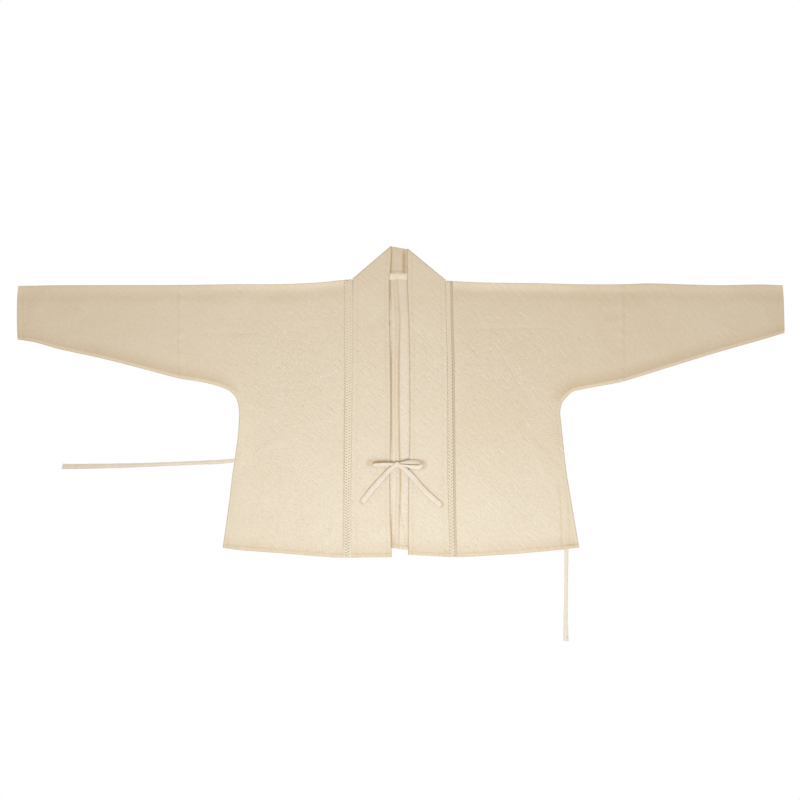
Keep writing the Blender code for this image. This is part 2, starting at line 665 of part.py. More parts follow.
def build():
    """Makes every piece of the jacket."""
    clear_scene()
    for side in SIDES:
        body_half(side)
        sleeve_end(side)
        trim(side)
    collar_band()
    band_top = front_under(*BOW_PLACE) + BAND
    ribbon("tie_side_left", TIE_SIDE_LEFT, 0.0, RIBBON_STEP)
    ribbon("tie_inner_right", TIE_INNER_RIGHT, 0.0, RIBBON_STEP)
    ribbon("bow_tail_left", TAIL_LEFT, band_top, RIBBON_STEP)
    ribbon("bow_tail_right", TAIL_RIGHT, band_top, RIBBON_STEP)
    ribbon("bow_loop_left", LOOP_LEFT, band_top, LOOP_STEP)
    ribbon("bow_loop_right", LOOP_RIGHT, band_top, LOOP_STEP)
    ribbon("tie_root_left", ROOT_LEFT, band_top - ROOT_DROP, LOOP_STEP)
    ribbon("tie_root_right", ROOT_RIGHT, band_top - ROOT_DROP, LOOP_STEP)
    knot()


build()
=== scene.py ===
"""The looks of a hanfu jacket laid flat with its front up: thin cloth, braid, bow and ties on a pale floor.

The tables are in millimetres, seen from above: x runs across, y runs from hem to shoulder, z is up.
Left and right are those of someone looking down at the front.
"""
import math

import bpy
import numpy as np
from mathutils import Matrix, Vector, noise
from mathutils.geometry import delaunay_2d_cdt


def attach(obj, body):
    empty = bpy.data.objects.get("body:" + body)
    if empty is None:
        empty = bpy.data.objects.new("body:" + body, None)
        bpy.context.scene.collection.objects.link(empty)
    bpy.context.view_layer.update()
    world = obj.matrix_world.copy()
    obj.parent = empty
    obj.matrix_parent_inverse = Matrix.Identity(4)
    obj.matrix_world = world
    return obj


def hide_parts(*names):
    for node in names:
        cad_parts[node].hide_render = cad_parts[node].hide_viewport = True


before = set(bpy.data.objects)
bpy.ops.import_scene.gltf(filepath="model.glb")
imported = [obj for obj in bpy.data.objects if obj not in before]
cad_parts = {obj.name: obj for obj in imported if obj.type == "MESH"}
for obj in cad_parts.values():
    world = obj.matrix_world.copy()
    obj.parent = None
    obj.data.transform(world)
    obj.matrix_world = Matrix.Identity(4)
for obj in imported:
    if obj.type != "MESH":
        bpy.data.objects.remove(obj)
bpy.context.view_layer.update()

MM = 0.001
BODY = "root"
SIDES = ("left", "right")
SIGN = {"left": -1, "right": 1}
TINY = 1e-12
CLOSEST = 1e-6

# Heights of the solids that the cloth lies on the form of
CLOTH = 1.2
BAND = 1.6
GAP = 0.3
MID_GAP = 2.0
FOLD_GAP = 1.0
SEAM_GAP = 0.35
CUFF_SHARE = 0.6
CUFF_REACH = 30.0
FRONT_HEM_LIFT = 0.6
HEM_FALL = 19.0
FOLD_INSET = 1.7
ROLL = [(FOLD_INSET, 0.0), (10.0, 0.62), (26.0, 1.0)]
ROOM_STARTS = -60.0
ROOM_FULL = -108.0

# The cloth that shows: its thickness, how far its rounded folds stand out, and the steps round them
SHEET = 0.7
FOLD_OUT = 1.5
FOLD_STEPS = 8

# Upright seams where the sleeve ends join the body
SLEEVE_SEAM = {"left": -445.2, "right": 446.8}

# Shoulder and sleeve fold, from cuff to neck: x, y
FOLD = {
    "left": [(-764.2, 231.8), (-681.0, 233.3), (-441.0, 233.8), (-321.0, 235.4), (-241.0, 235.4),
             (-161.0, 239.1), (-121.0, 243.2), (-96.4, 245.0)],
    "right": [(764.0, 233.2), (718.8, 234.8), (638.8, 233.4), (558.8, 235.2), (498.8, 237.0),
              (438.8, 235.2), (358.8, 235.2), (278.8, 237.2), (158.8, 239.0), (91.6, 242.4)],
}

# Underside of the sleeve, armpit and side seam, from cuff to hem: x, y
UNDERSIDE = {
    "left": [(-765.9, 124.6), (-731.2, 119.0), (-681.2, 105.0), (-601.2, 87.6), (-521.2, 67.4),
             (-441.2, 46.4), (-401.2, 40.2), (-361.2, 30.2), (-341.2, 20.8), (-329.8, 8.2),
             (-325.0, -4.2), (-323.0, -28.2), (-326.4, -76.2), (-336.8, -148.2), (-342.4, -196.2),
             (-355.8, -291.6)],
    "right": [(767.8, 138.0), (718.8, 123.2), (638.8, 100.4), (558.8, 76.0), (478.8, 50.9),
              (438.8, 39.4), (398.8, 31.6), (362.8, 24.9), (344.0, 20.0), (331.0, 8.2),
              (322.4, -4.2), (319.1, -20.2), (320.9, -40.2), (331.2, -136.2), (338.9, -184.2),
              (357.0, -291.0)],
}

# Cuffs, from the underside up: x, y
CUFF = {
    "left": [(-765.9, 124.6), (-766.8, 150.0), (-767.2, 180.0), (-766.3, 212.0), (-764.2, 231.8)],
    "right": [(767.8, 138.0), (766.8, 176.0), (765.5, 212.0), (764.0, 233.2)],
}
CUFF_X = {"left": -766.8, "right": 766.8}

# Hems: x, y
FRONT_HEM = [(-355.8, -291.6), (-321.2, -296.4), (-241.2, -302.6), (-161.2, -309.2), (-121.2, -311.4),
             (-19.0, -310.4), (14.8, -305.6), (38.8, -307.8), (78.8, -309.6), (118.8, -310.2),
             (158.8, -308.5), (238.8, -303.1), (318.8, -295.8), (357.0, -291.0)]
BACK_HEM = [(-355.8, -291.6), (-180.0, -292.8), (-12.0, -292.8), (6.0, -295.8), (180.0, -293.0),
            (357.0, -291.0)]
HEM_Y = -300.0

# Lines of the front: each braid's outer side, the collar seams, the two front edges, the centre back seam
LINES = ("y", "braid_left", "seam_left", "edge_left", "centre_back", "edge_right", "seam_right",
         "braid_right")
FRONT_LINES = [
    (312, -112.8, -96.0, -19.4, -6.4, 14.0, 90.0, 104.0),
    (238, -112.8, -96.0, -22.4, -6.4, 12.9, 90.0, 104.0),
    (164, -113.0, -95.6, -22.2, -1.4, 16.4, 90.8, 105.4),
    (84, -113.0, -96.2, -20.4, -3.4, 18.0, 93.4, 107.6),
    (4, -112.8, -96.8, -19.6, -3.6, 18.2, 94.0, 108.4),
    (-76, -114.0, -98.2, -20.2, -2.8, 18.3, 94.2, 109.2),
    (-166, -114.8, -98.8, -21.6, 0.0, 15.8, 94.4, 110.0),
    (-236, -115.6, -99.6, -20.6, -2.6, 15.2, 96.4, 111.2),
    (-296, -116.0, -98.4, -18.0, -3.8, 14.8, 98.8, 112.8),
]

# Ends of the collar's two slanting folds: at the neck corner, at the top
COLLAR_FOLD = {
    "left": [(-96.4, 246.2), (-19.4, 312.2)],
    "right": [(91.0, 243.4), (14.2, 306.9)],
}
COLLAR_DIP = 34.0
COLLAR_GAP = 0.6
COLLAR_ROUND = (BAND + COLLAR_GAP) / 2
COLLAR_INSET = BAND + COLLAR_GAP / 2
NECK_BLEND = 0.9

# Creases of the front: start x, start y, end x, end y, bow to one side, width, height (a trough is below 0)
CREASES = [
    (-707, 232, -739, 176, 4, 9, 1.0), (-620, 212, -712, 156, 10, 17, 1.1),
    (-744, 228, -752, 150, 0, 7, -0.4), (-600, 190, -500, 196, 6, 20, 0.6),
    (-560, 132, -470, 120, -4, 16, 0.5), (-430, 190, -300, 196, 8, 26, 0.7),
    (-393, 136, -262, 139, 0, 3.2, -0.5), (-319, 0, -255, -30, 5, 8, 0.9), (-301, 32, -245, 4, 4, 9, 0.7),
    (-323, -84, -270, -186, -5, 8, -0.8), (-287, -96, -229, -62, -5, 10, 1.0),
    (-201, -214, -141, -168, -4, 9, 0.9), (-305, -276, -129, -279, 3, 9, 0.7),
    (-160, -290, -119, -244, 3, 7, 0.5), (-331, -124, -273, -142, 3, 8, -0.6),
    (-337, -158, -309, -134, 2, 7, -0.6), (-250, 20, -180, -60, 8, 22, 0.6),
    (-230, -130, -150, -60, -8, 24, 0.5), (-157, 222, -111, 190, 3, 8, 0.7),
    (-300, 210, -170, 214, 4, 14, -0.5), (-280, -220, -220, -262, 4, 14, 0.5),
    (-210, 110, -140, 60, 6, 24, 0.5), (-460, 96, -380, 66, 4, 14, 0.6), (-660, 118, -590, 110, 3, 12, -0.4),
    (115, 147, 316, 148, 0, 3.2, -0.5), (333, 8, 262, -50, -5, 9, 0.8), (263, -66, 331, -142, 4, 7, -1.0),
    (229, -52, 327, -208, 7, 9, 0.8), (209, 84, 263, -14, 5, 7, -0.7), (131, -80, 263, -240, -4, 8, -0.7),
    (250, -64, 322, -150, 6, 9, 0.7), (150, -140, 240, -262, 8, 18, 0.5), (403, 188, 457, 189, 2, 7, 0.7),
    (399, 163, 448, 161, -2, 6, 0.7), (411, 138, 448, 138, 2, 6, 0.6), (449, 232, 485, 200, -3, 8, -0.6),
    (119, 58, 145, 90, 2, 7, -0.5), (120, 212, 330, 216, -5, 14, -0.5), (520, 190, 640, 176, 6, 22, 0.6),
    (650, 200, 740, 196, 3, 14, 0.5), (720, 216, 742, 150, -4, 10, 0.6), (470, 92, 380, 64, -4, 14, 0.6),
    (600, 132, 690, 140, -4, 14, -0.4), (160, 40, 230, -30, 6, 22, 0.5), (330, 190, 392, 150, -6, 18, 0.5),
    (260, -200, 318, -262, 4, 12, 0.5), (540, 110, 470, 100, 4, 12, 0.5), (340, 96, 420, 120, 6, 20, 0.5),
]

# Creases of the collar band, in the same columns
COLLAR_CREASES = [
    (-79, 142, -25, 178, 3, 9, -0.5), (-60, 122, -23, 156, 3, 8, 0.5), (-87, 60, -45, 6, 3, 7, -0.4),
    (-40, 226, -24, 232, 0, 7, -0.5), (-92, 200, -60, 236, 4, 10, 0.4), (-80, -60, -30, -84, 3, 12, 0.4),
    (-90, -180, -40, -230, 4, 13, 0.4), (-60, -262, -28, -282, 2, 9, -0.4), (18, 202, 48, 214, 2, 8, -0.5),
    (20, 106, 80, 78, 4, 12, 0.4), (24, -4, 44, -8, 0, 9, -0.4), (30, -40, 88, -90, 5, 13, 0.4),
    (26, -190, 84, -240, 5, 14, 0.4), (24, 150, 60, 120, 3, 10, -0.4), (60, 190, 88, 150, 3, 9, 0.4),
    (20, -276, 88, -292, 3, 8, 0.4),
]

# Creases of the back's underside, hollows that leave it flat where it rests, in the same columns
BACK_CREASES = [
    (-700, 220, -730, 160, 3, 10, 0.35), (-600, 200, -500, 160, 6, 16, 0.3),
    (-470, 100, -390, 70, 3, 14, 0.35), (-320, -4, -250, -50, 5, 10, 0.4), (-300, 60, -200, 120, 8, 20, 0.3),
    (-250, -120, -180, -200, 6, 14, 0.35), (-330, -220, -280, -260, 3, 10, 0.3),
    (-150, 180, -60, 140, 6, 18, 0.3), (-120, -60, -40, -150, 6, 16, 0.3),
    (-100, -240, -30, -270, 3, 12, 0.3), (60, 200, 150, 150, 6, 18, 0.3), (30, -30, 110, -110, 6, 14, 0.3),
    (120, -230, 220, -262, 4, 12, 0.3), (322, -8, 250, -60, -5, 10, 0.4), (210, 40, 300, 100, 8, 20, 0.3),
    (230, -120, 310, -200, 6, 12, 0.35), (470, 96, 390, 68, -3, 14, 0.35), (560, 200, 650, 170, 6, 16, 0.3),
    (700, 214, 730, 150, -3, 10, 0.35), (330, 210, 420, 196, 4, 12, 0.3),
]

# Ties: x, y, lift off what it lies on, width, tilt in degrees
TIE_SIDE_LEFT = [
    (-331.2, -117.0, 1.1, 7.0, 0), (-361.2, -119.9, 0.3, 8.2, 0), (-401.2, -121.6, 0.1, 7.8, 0),
    (-481.2, -125.0, 0.1, 7.8, 0), (-561.2, -127.5, 0.1, 9.0, 0), (-641.2, -129.0, 0.1, 10.2, 0),
    (-676.8, -129.2, 0.1, 10.4, 0),
]
TIE_INNER_RIGHT = [
    (322.4, -114.0, 1.6, 7.6, 0), (325.2, -152.2, 1.6, 9.0, 0), (328.4, -196.2, 1.6, 9.0, 0),
    (330.4, -236.2, 1.6, 9.0, 0), (331.4, -286.0, 1.6, 8.6, 0), (331.4, -322.0, 0.1, 7.6, 0),
    (330.6, -400.2, 0.1, 7.6, 0), (330.0, -436.2, 0.1, 8.8, 0), (330.6, -478.6, 0.1, 10.4, 0),
]
TAIL_LEFT = [
    (-12.4, -127.8, 1.6, 6.4, 0), (-17.6, -132.4, 0.9, 8.2, 0), (-25.0, -139.8, 0.3, 9.8, 0),
    (-41.2, -157.8, 0.3, 11.2, 0), (-58.2, -177.0, 0.3, 11.4, 0), (-75.6, -200.0, 0.3, 11.6, 0),
]
TAIL_RIGHT = [
    (-4.0, -126.6, 2.4, 7.0, 0), (2.6, -130.4, 1.4, 9.0, 0), (11.0, -137.2, 0.6, 10.0, 0),
    (20.8, -146.8, 0.3, 10.8, 0), (33.8, -162.2, 0.3, 11.2, 0), (48.8, -178.6, 0.3, 11.2, 0),
    (64.8, -193.4, 0.3, 11.2, 0), (80.4, -206.4, 0.3, 11.4, 0),
]
LOOP_LEFT = [
    (-15.0, -124.2, 0.3, 4.6, 0), (-26.0, -124.6, 0.5, 7.6, 0), (-40.0, -125.2, 1.4, 8.0, 0),
    (-52.6, -126.0, 2.8, 7.0, 0), (-55.4, -126.2, 4.2, 5.4, 0), (-52.6, -126.0, 5.6, 7.0, 0),
    (-40.0, -125.2, 5.9, 8.0, 0), (-26.0, -124.6, 4.9, 7.6, 0), (-15.0, -124.2, 2.6, 4.6, 0),
]
LOOP_RIGHT = [
    (-0.6, -121.6, 1.9, 3.2, 8), (6.0, -121.2, 1.9, 5.0, 16), (14.8, -120.4, 1.0, 8.4, 24),
    (26.0, -120.6, 0.3, 9.6, 24), (36.0, -121.2, 0.3, 9.6, 32), (43.0, -125.6, 0.3, 9.4, 62),
    (36.0, -130.3, 0.3, 9.6, 32), (25.0, -130.0, 0.3, 9.2, 24), (13.8, -128.2, 1.9, 6.0, 18),
    (6.0, -126.6, 1.9, 4.0, 12), (-0.6, -126.0, 1.9, 3.2, 8),
]
ROOT_LEFT = [(-20.4, -124.4, 0.0, 8.0, 0), (-12.9, -124.4, 0.0, 7.0, 0)]
ROOT_RIGHT = [(16.7, -124.6, 0.0, 8.0, 0), (-2.9, -124.6, 0.0, 7.0, 0)]
ROOT_DROP = 1.35
TIE = 1.1
BOW_PLACE = (-60.0, -124.0)

# Knot: middle, half sizes
KNOT_MIDDLE = (-7.6, -124.8, 6.3)
KNOT_HALF = (6.4, 5.2, 2.9)

# Camera: the photograph is square, and shows 1.6 m across
PHOTO_WIDTH = 1.6
PHOTO_CENTRE = (-0.0012, 0.0038)
CAMERA_HEIGHT = 6.0
SENSOR = 36.0

# A small pleat in the back cloth by the centre back seam, above the hem
BACK_PLEAT = [(-2.4, -206.0), (3.0, -240.0), (7.6, -266.0), (10.0, -286.0)]


def away_from(line, places):
    """Each place's distance from a line of straight stretches."""
    best = np.full(len(places), np.inf)
    for a, b in zip(line[:-1], line[1:]):
        along = b - a
        share = np.clip((places - a) @ along / max(along @ along, TINY), 0, 1)
        best = np.minimum(best, np.linalg.norm(places - a - share[:, None] * along, axis=1))
    return best


class Path:
    """A smooth curve through a table's rows, measured along its first two or three columns."""

    def __init__(self, rows, fine=8):
        rows = np.array(rows, float)
        ends = np.vstack([2 * rows[0] - rows[1], rows, 2 * rows[-1] - rows[-2]])
        points = []
        for i in range(1, len(ends) - 2):
            for t in np.arange(fine) / fine:
                points.append(self.between(ends[i - 1:i + 3], t))
        points.append(rows[-1])
        self.points = np.array(points)
        steps = np.linalg.norm(np.diff(self.points[:, :3], axis=0), axis=1)
        self.lengths = np.concatenate([[0.0], np.cumsum(steps)])

    @staticmethod
    def between(four, t):
        """A point between the middle two of four rows: a cubic whose slopes suit uneven spacing."""
        before, start, end, after = four
        pairs = ((before, start), (start, end), (end, after))
        first, middle, last = [max(np.linalg.norm((b - a)[:2]), CLOSEST) for a, b in pairs]
        slope_in = middle * (end - before) / (first + middle)
        slope_out = middle * (after - start) / (middle + last)
        h = (2 * t**3 - 3 * t**2 + 1, t**3 - 2 * t**2 + t, -2 * t**3 + 3 * t**2, t**3 - t**2)
        return h[0] * start + h[1] * slope_in + h[2] * end + h[3] * slope_out

    def at(self, length):
        """The row at a length along the path, or the rows at several."""
        return np.stack([np.interp(length, self.lengths, column) for column in self.points.T], axis=-1)

    def where(self, column, value):
        """The length at which a column first reaches a value."""
        side = np.sign(self.points[:, column] - value)
        crossing = np.nonzero(side[:-1] * side[1:] <= 0)[0][0]
        a, b = self.points[crossing, column], self.points[crossing + 1, column]
        share = 0.0 if a == b else (value - a) / (b - a)
        return self.lengths[crossing] + share * (self.lengths[crossing + 1] - self.lengths[crossing])

    def run(self, start, end, step):
        """Rows evenly spaced from one length to another, both ends included."""
        count = max(1, round(abs(end - start) / step))
        return self.at(np.linspace(start, end, count + 1))

    def distance(self, places):
        """Each place's distance from the path."""
        return away_from(self.points[:, :2], places)


FOLD_PATHS = {side: Path(FOLD[side]) for side in SIDES}
UNDER_PATHS = {side: Path(UNDERSIDE[side]) for side in SIDES}
CUFF_PATHS = {side: Path(CUFF[side]) for side in SIDES}
FRONT_HEM_PATH = Path(FRONT_HEM)
BACK_HEM_PATH = Path(BACK_HEM)
BACK_PLEAT_PATH = Path(BACK_PLEAT)
INNER_TIE_PATH = Path([row[:2] for row in TIE_INNER_RIGHT[:5]])


def smooth(low, high, value):
    """0 below low, 1 above high, and a smooth rise between them."""
    share = np.clip((value - low) / (high - low), 0, 1)
    return share * share * (3 - 2 * share)


def bump(distance, width):
    """A soft hill, 1 in its middle."""
    return np.exp(-(distance / width)**2)


def plateau(rise, fall, value):
    """0 below the rise, 1 between it and the fall, and 0 above the fall."""
    return smooth(*rise, value) - smooth(*fall, value)


def hills(distance, rows):
    """The sum of soft hills: rows of distance, width and height."""
    return sum(height * bump(distance - middle, width) for middle, width, height in rows)


def shades(distance, rows):
    """The sum of what fades away between two distances: rows of near, far and strength."""
    return sum(strength * (1 - smooth(near, far, distance)) for near, far, strength in rows)


def stray(value, short, push, long):
    """A wave from -1 to 1 whose length strays."""
    return np.sin(value / short + push * np.sin(value / long))


def line_at(name, y):
    """The x of one of the front's lines at some heights."""
    rows = np.array(sorted(FRONT_LINES), float)
    return np.interp(y, rows[:, 0], rows[:, LINES.index(name)])


def table_at(rows, value):
    """The second column at some values of the first, straight between rows."""
    rows = np.array(sorted(rows), float)
    return np.interp(value, rows[:, 0], rows[:, 1])


def by_side(paths, places):
    """Each place's distance from its own side's path."""
    found = np.zeros(len(places))
    for side in SIDES:
        mine = places[:, 0] * SIGN[side] >= 0
        if mine.any():
            found[mine] = paths[side].distance(places[mine])
    return found


def own(values, places):
    """The value of each place's own side."""
    return np.where(places[:, 0] < 0, values["left"], values["right"])


# How a crease fades, from past its end to within it, as shares of its length
CREASE_FADE = (-0.12, 0.3)


def creases(places, table):
    """The height that a table's creases add at some places."""
    total = np.zeros(len(places))
    for x0, y0, x1, y1, bow, width, height in table:
        start, end = np.array((x0, y0), float), np.array((x1, y1), float)
        length = np.linalg.norm(end - start)
        along = (end - start) / length
        share = (places - start) @ along / length
        across = (places - start) @ np.array((-along[1], along[0]))
        across = across - bow * (1 - (2 * share - 1)**2)
        fade = smooth(*CREASE_FADE, share) * smooth(*CREASE_FADE, 1 - share)
        total += height * fade * bump(across, width)
    return total


def waves(places, spacing, amount, seed):
    """Gentle unevenness."""
    return amount * np.array([noise.noise(Vector((x / spacing, y / spacing, seed))) for x, y in places])


def seam_gap(places):
    """The space between the cloths at the side seams: the right one lies over its tie."""
    room = np.clip((ROOM_STARTS - places[:, 1]) / (ROOM_STARTS - ROOM_FULL), 0, 1)
    return SEAM_GAP + np.where(places[:, 0] < 0, 0.0, room) * (MID_GAP - SEAM_GAP)


def solid_under(places):
    """The height of the front solid's underside, which drops to the floor past the shorter back."""
    share_fold = table_at(ROLL, by_side(FOLD_PATHS, places))
    share_seam = table_at(ROLL, by_side(UNDER_PATHS, places))
    low = seam_gap(places)
    gap = np.minimum(FOLD_GAP + share_fold * (MID_GAP - FOLD_GAP), low + share_seam * (MID_GAP - low))
    near_cuff = np.clip(1 - np.abs(places[:, 0] - own(CUFF_X, places)) / CUFF_REACH, 0, 1)
    height = CLOTH + gap * (1 - (1 - CUFF_SHARE) * near_cuff)
    drop = np.clip((table_at(BACK_HEM, places[:, 0]) - places[:, 1]) / HEM_FALL, 0, 1)
    return height + drop * (FRONT_HEM_LIFT - height)


# Seams, hems and cuffs: how far the doubled cloth reaches, its height, the stitched groove's depth and width
HEM_WIDTH = 7.4
CUFF_WIDTH = 11.0
ALLOWANCE = 6.0
EDGE_RISE = 0.45
GROOVE = 0.4
GROOVE_WIDTH = 1.3

# Where a doubled strip rises at its edge, and falls about its reach
RIM_RISES = (-0.6, 1.6)
RIM_FALLS = (-1.2, 1.6)

# Rounded folds: how pale the painted highlight makes the top fold along x, how far in that reaches, and the
# painted shade on all folds
FOLD_SHINE = [
    (-770, 1.0), (-600, 1.4), (-400, 1.5), (-320, 2.7), (-140, 3.0), (140, 2.4), (300, 2.7), (360, 1.5),
    (560, 1.1), (770, 1.6),
]
SHINE_REACH = (-1.0, 17.0)
SHINE_ROUND = 0.7
FOLD_TONE = 0.42

# Heights between which the side gives way to the sleeve
TO_SLEEVE = (-10.0, 30.0)

# How far in from its edges the cloth starts to crease and wave freely, and the share of a crease at the edge
FREE = (2.0, 22.0)
EDGE_CREASE = 0.25

# Unevenness of the front: spacing, height, seed
WAVES = [(74, 0.5, 3.1), (23, 0.16, 8.4)]

# Hills beside the folded edges and the upright sleeve seams: distance, width, height
FOLD_FORM = [(6, 4.5, 0.5), (19, 9, -0.3)]
SEAM_FORM = [(0, 1.2, -0.12), (4, 3, 0.12)]

# The sleeve seam's allowance on the body's side: where it rises and falls, its height; the seam's puckers
SEAM_FLAP = ((1, 3), (9, 12))
SEAM_FLAP_HEIGHT = 0.22
PUCKER = [(5, 6, 0.35)]
PUCKER_WAVE = (4.3, 1.7, 19.0)

# How much of the doubled strip shows down the side, and along the sleeve's underside
SIDE_STRIP = 0.3
SLEEVE_STRIP = 0.6

# Hump over the tie inside the right side seam: half width, height, the hollow beside it; where it flattens
HUMP_SIDE = (3.4, 7.8)
HUMP = 0.95
HUMP_HOLLOW = (9.0, 2.5, -0.25)
HUMP_FLATTENS = (-210, -130)
HUMP_LOST = 0.75


def strip(distance, reach):
    """A doubled strip along an edge, with the groove of its stitching."""
    rim = EDGE_RISE * (smooth(*RIM_RISES, distance) - smooth(*RIM_FALLS, distance - reach))
    return rim - GROOVE * bump(distance - reach, GROOVE_WIDTH)


def edge_distances(places):
    """Each place's distances from the front's edges and from its sleeve seam."""
    x, y = places.T
    return {"fold": by_side(FOLD_PATHS, places), "under": by_side(UNDER_PATHS, places),
            "hem": np.abs(y - table_at(FRONT_HEM, x)), "cuff": np.abs(x - own(CUFF_X, places)),
            "seam": np.abs(x - own(SLEEVE_SEAM, places))}


def sleeve_seam_form(places, from_seam):
    """The valley of the upright sleeve seams, with the cloth puffed up on both sides."""
    x, y = places.T
    body_side = np.abs(x) < np.abs(own(SLEEVE_SEAM, places))
    pucker = stray(y, *PUCKER_WAVE) * hills(from_seam, PUCKER)
    flap = SEAM_FLAP_HEIGHT * plateau(*SEAM_FLAP, from_seam)
    return hills(from_seam, SEAM_FORM) + body_side * (flap + pucker)


def tie_relief(places):
    """The front cloth humps over the tie that lies inside the right side seam."""
    distance = INNER_TIE_PATH.distance(places)
    share = 1 - HUMP_LOST * smooth(*HUMP_FLATTENS, places[:, 1])
    return share * (HUMP * (1 - smooth(*HUMP_SIDE, distance)) + hills(distance, [HUMP_HOLLOW]))


def front_top(places):
    """The height of the front cloth's outer side."""
    places = np.asarray(places, float)
    edges = edge_distances(places)
    free = smooth(*FREE, np.minimum.reduce([edges[name] for name in ("fold", "under", "hem", "cuff")]))
    under_strip = SIDE_STRIP + (SLEEVE_STRIP - SIDE_STRIP) * smooth(*TO_SLEEVE, places[:, 1])
    form = solid_under(places) + CLOTH + hills(edges["fold"], FOLD_FORM)
    form += strip(edges["under"], ALLOWANCE) * under_strip
    form += strip(edges["hem"], HEM_WIDTH) + strip(edges["cuff"], CUFF_WIDTH)
    form += sleeve_seam_form(places, edges["seam"]) + tie_relief(places)
    form += creases(places, CREASES) * (EDGE_CREASE + (1 - EDGE_CREASE) * free)
    return form + sum(waves(places, *row) for row in WAVES) * free


# Painted shade along the front's stitched lines and edges: edge, distance, width, strength, what the sleeve
# adds
TONE_LINES = [
    ("under", ALLOWANCE + 2.4, 3.2, 0.06, 0.14), ("hem", HEM_WIDTH, 1.5, 0.16, 0.0),
    ("cuff", CUFF_WIDTH, 1.6, 0.15, 0.0), ("seam", 0.0, 1.6, 0.10, 0.0), ("fold", 28.0, 9.0, 0.08, 0.0),
]

# Painted shade that fades inwards from the front's edges: edge, near, far, strength
TONE_SHADES = [("under", 0.4, 1.8, 0.3), ("hem", 4, 34, 0.28), ("hem", 0, 2.5, 0.2)]

# Painted shade under the sleeves: distance, width, strength; the x at which it weakens, and by how much
SLEEVE_SHADE = [(13, 12, 0.27)]
SLEEVE_SHADE_WEAKENS = (560, 720)
SLEEVE_SHADE_LOST = 0.6

# Painted highlight on a rim along the underside: its span, how pale, what the sleeve adds away from the cuff
RIM = ((1.2, 2.4), (3.8, 7.0))
RIM_PALE = 0.1
RIM_SLEEVE = 0.32
RIM_FROM_CUFF = (10, 50)

# The inner tie: painted shade on the hem line over it; painted shade on its left side, and where that ends
TIE_HEM_X = (318, 338)
TIE_HEM = [(HEM_WIDTH, 1.5, 0.45)]
BESIDE_TIE = [(8.5, 1.6, 0.3)]
BESIDE_TIE_X = 328
BESIDE_TIE_ENDS = (-200, -140)

# The right side's soft painted shade, in x and y; a painted highlight by the left side seam, in x and y
RIGHT_SHADE = 0.12
RIGHT_SHADE_X = ((60, 150), (480, 600))
RIGHT_SHADE_Y = (-190, -60)
SIDE_PALE = 0.6
SIDE_PALE_X = (-322, 32)
SIDE_PALE_Y = (-60, 80)

# Close stitching that holds the side tie's end inside the left side seam: its columns, its lines, and the
# painted shade along them
TACK_X = (-333.0, -330.0, -326.0, -321.0)
TACK_Y = (-114.8, -116.2, -117.8, -119.2)
TACK_SPAN = ((-336, -333), (-322, -320))
TACK_LINES = [(TACK_Y[0], 0.9, 0.55), (TACK_Y[-1], 0.9, 0.55)]


def front_painted_light(places):
    """Painted shade of the front cloth in its grooves, along its edges and beside its ties, with painted
    highlights along the top fold and the underside's rim.
    """
    places = np.asarray(places, float)
    x, y = places.T
    edges = edge_distances(places)
    on_sleeve = smooth(*TO_SLEEVE, y)
    tone = tack_painted_shade(places) + side_painted_light(places)
    for edge, distance, width, strength, more in TONE_LINES:
        tone += (strength + more * on_sleeve) * bump(edges[edge] - distance, width)
    for edge, *shade in TONE_SHADES:
        tone += shades(edges[edge], [shade])
    weaker = 1 - SLEEVE_SHADE_LOST * smooth(*SLEEVE_SHADE_WEAKENS, np.abs(x))
    tone += on_sleeve * weaker * hills(edges["under"], SLEEVE_SHADE)
    rim = RIM_PALE + RIM_SLEEVE * on_sleeve * smooth(*RIM_FROM_CUFF, edges["cuff"])
    tone -= rim * plateau(*RIM, edges["under"])
    tone += smooth(*TIE_HEM_X, x) * hills(edges["hem"], TIE_HEM)
    tone -= table_at(FOLD_SHINE, x) * (1 - smooth(*SHINE_REACH, edges["fold"]))
    beside_tie = hills(INNER_TIE_PATH.distance(places), BESIDE_TIE) * (x < BESIDE_TIE_X)
    return tone + beside_tie * (1 - smooth(*BESIDE_TIE_ENDS, y))


def side_painted_light(places):
    """The right side's soft painted shade, and a painted highlight on the stretch by the left side seam."""
    x, y = places.T
    shade = RIGHT_SHADE * plateau(*RIGHT_SHADE_X, x) * smooth(*RIGHT_SHADE_Y, y)
    near = bump(x - SIDE_PALE_X[0], SIDE_PALE_X[1]) * bump(y - SIDE_PALE_Y[0], SIDE_PALE_Y[1])
    return shade - SIDE_PALE * near


def fold_painted_light(places):
    """The rounded folds at the edges: a painted highlight along the top, painted shade under the sleeves."""
    on_top = by_side(FOLD_PATHS, places) < by_side(UNDER_PATHS, places)
    return FOLD_TONE - SHINE_ROUND * on_top * table_at(FOLD_SHINE, places[:, 0])


def tack_painted_shade(places):
    """Painted shade along the two stitched lines that hold the side tie's end inside the left side seam."""
    x, y = places.T
    return plateau(*TACK_SPAN, x) * hills(y, TACK_LINES)


# The back's centre seam: where its allowance starts and ends, its painted shade by height, and that shade's
# width
BACK_ALLOWANCE = (1.2, 7.8)
BACK_FLAP = ((BACK_ALLOWANCE[0], BACK_ALLOWANCE[0] + 1), (BACK_ALLOWANCE[1] - 0.8, BACK_ALLOWANCE[1]))
SEAM_STRENGTH = [(-296, 0.25), (-236, 0.7), (-166, 0.95), (84, 0.95), (164, 0.6), (238, 0.35)]
SEAM_WIDTH = 1.8

# Painted shade of the back's inner side, with one painted pale line: beside the centre seam, the pleat, the
# allowance, the left front, the hem
BACK_LINES = [(BACK_ALLOWANCE[1], 1.1, 0.30), (BACK_ALLOWANCE[1] + 3, 1.6, -0.35)]
PLEAT_LINE = [(0, 1.3, 0.35)]
BACK_FLAP_TONE = 0.12
BESIDE_FRONT = [(1.3, 2.3, 1.0)]
BACK_HEM_LINE = [(HEM_WIDTH, 1.3, 0.45)]
BACK_HEM_SHADE = [(6, 40, 0.2)]

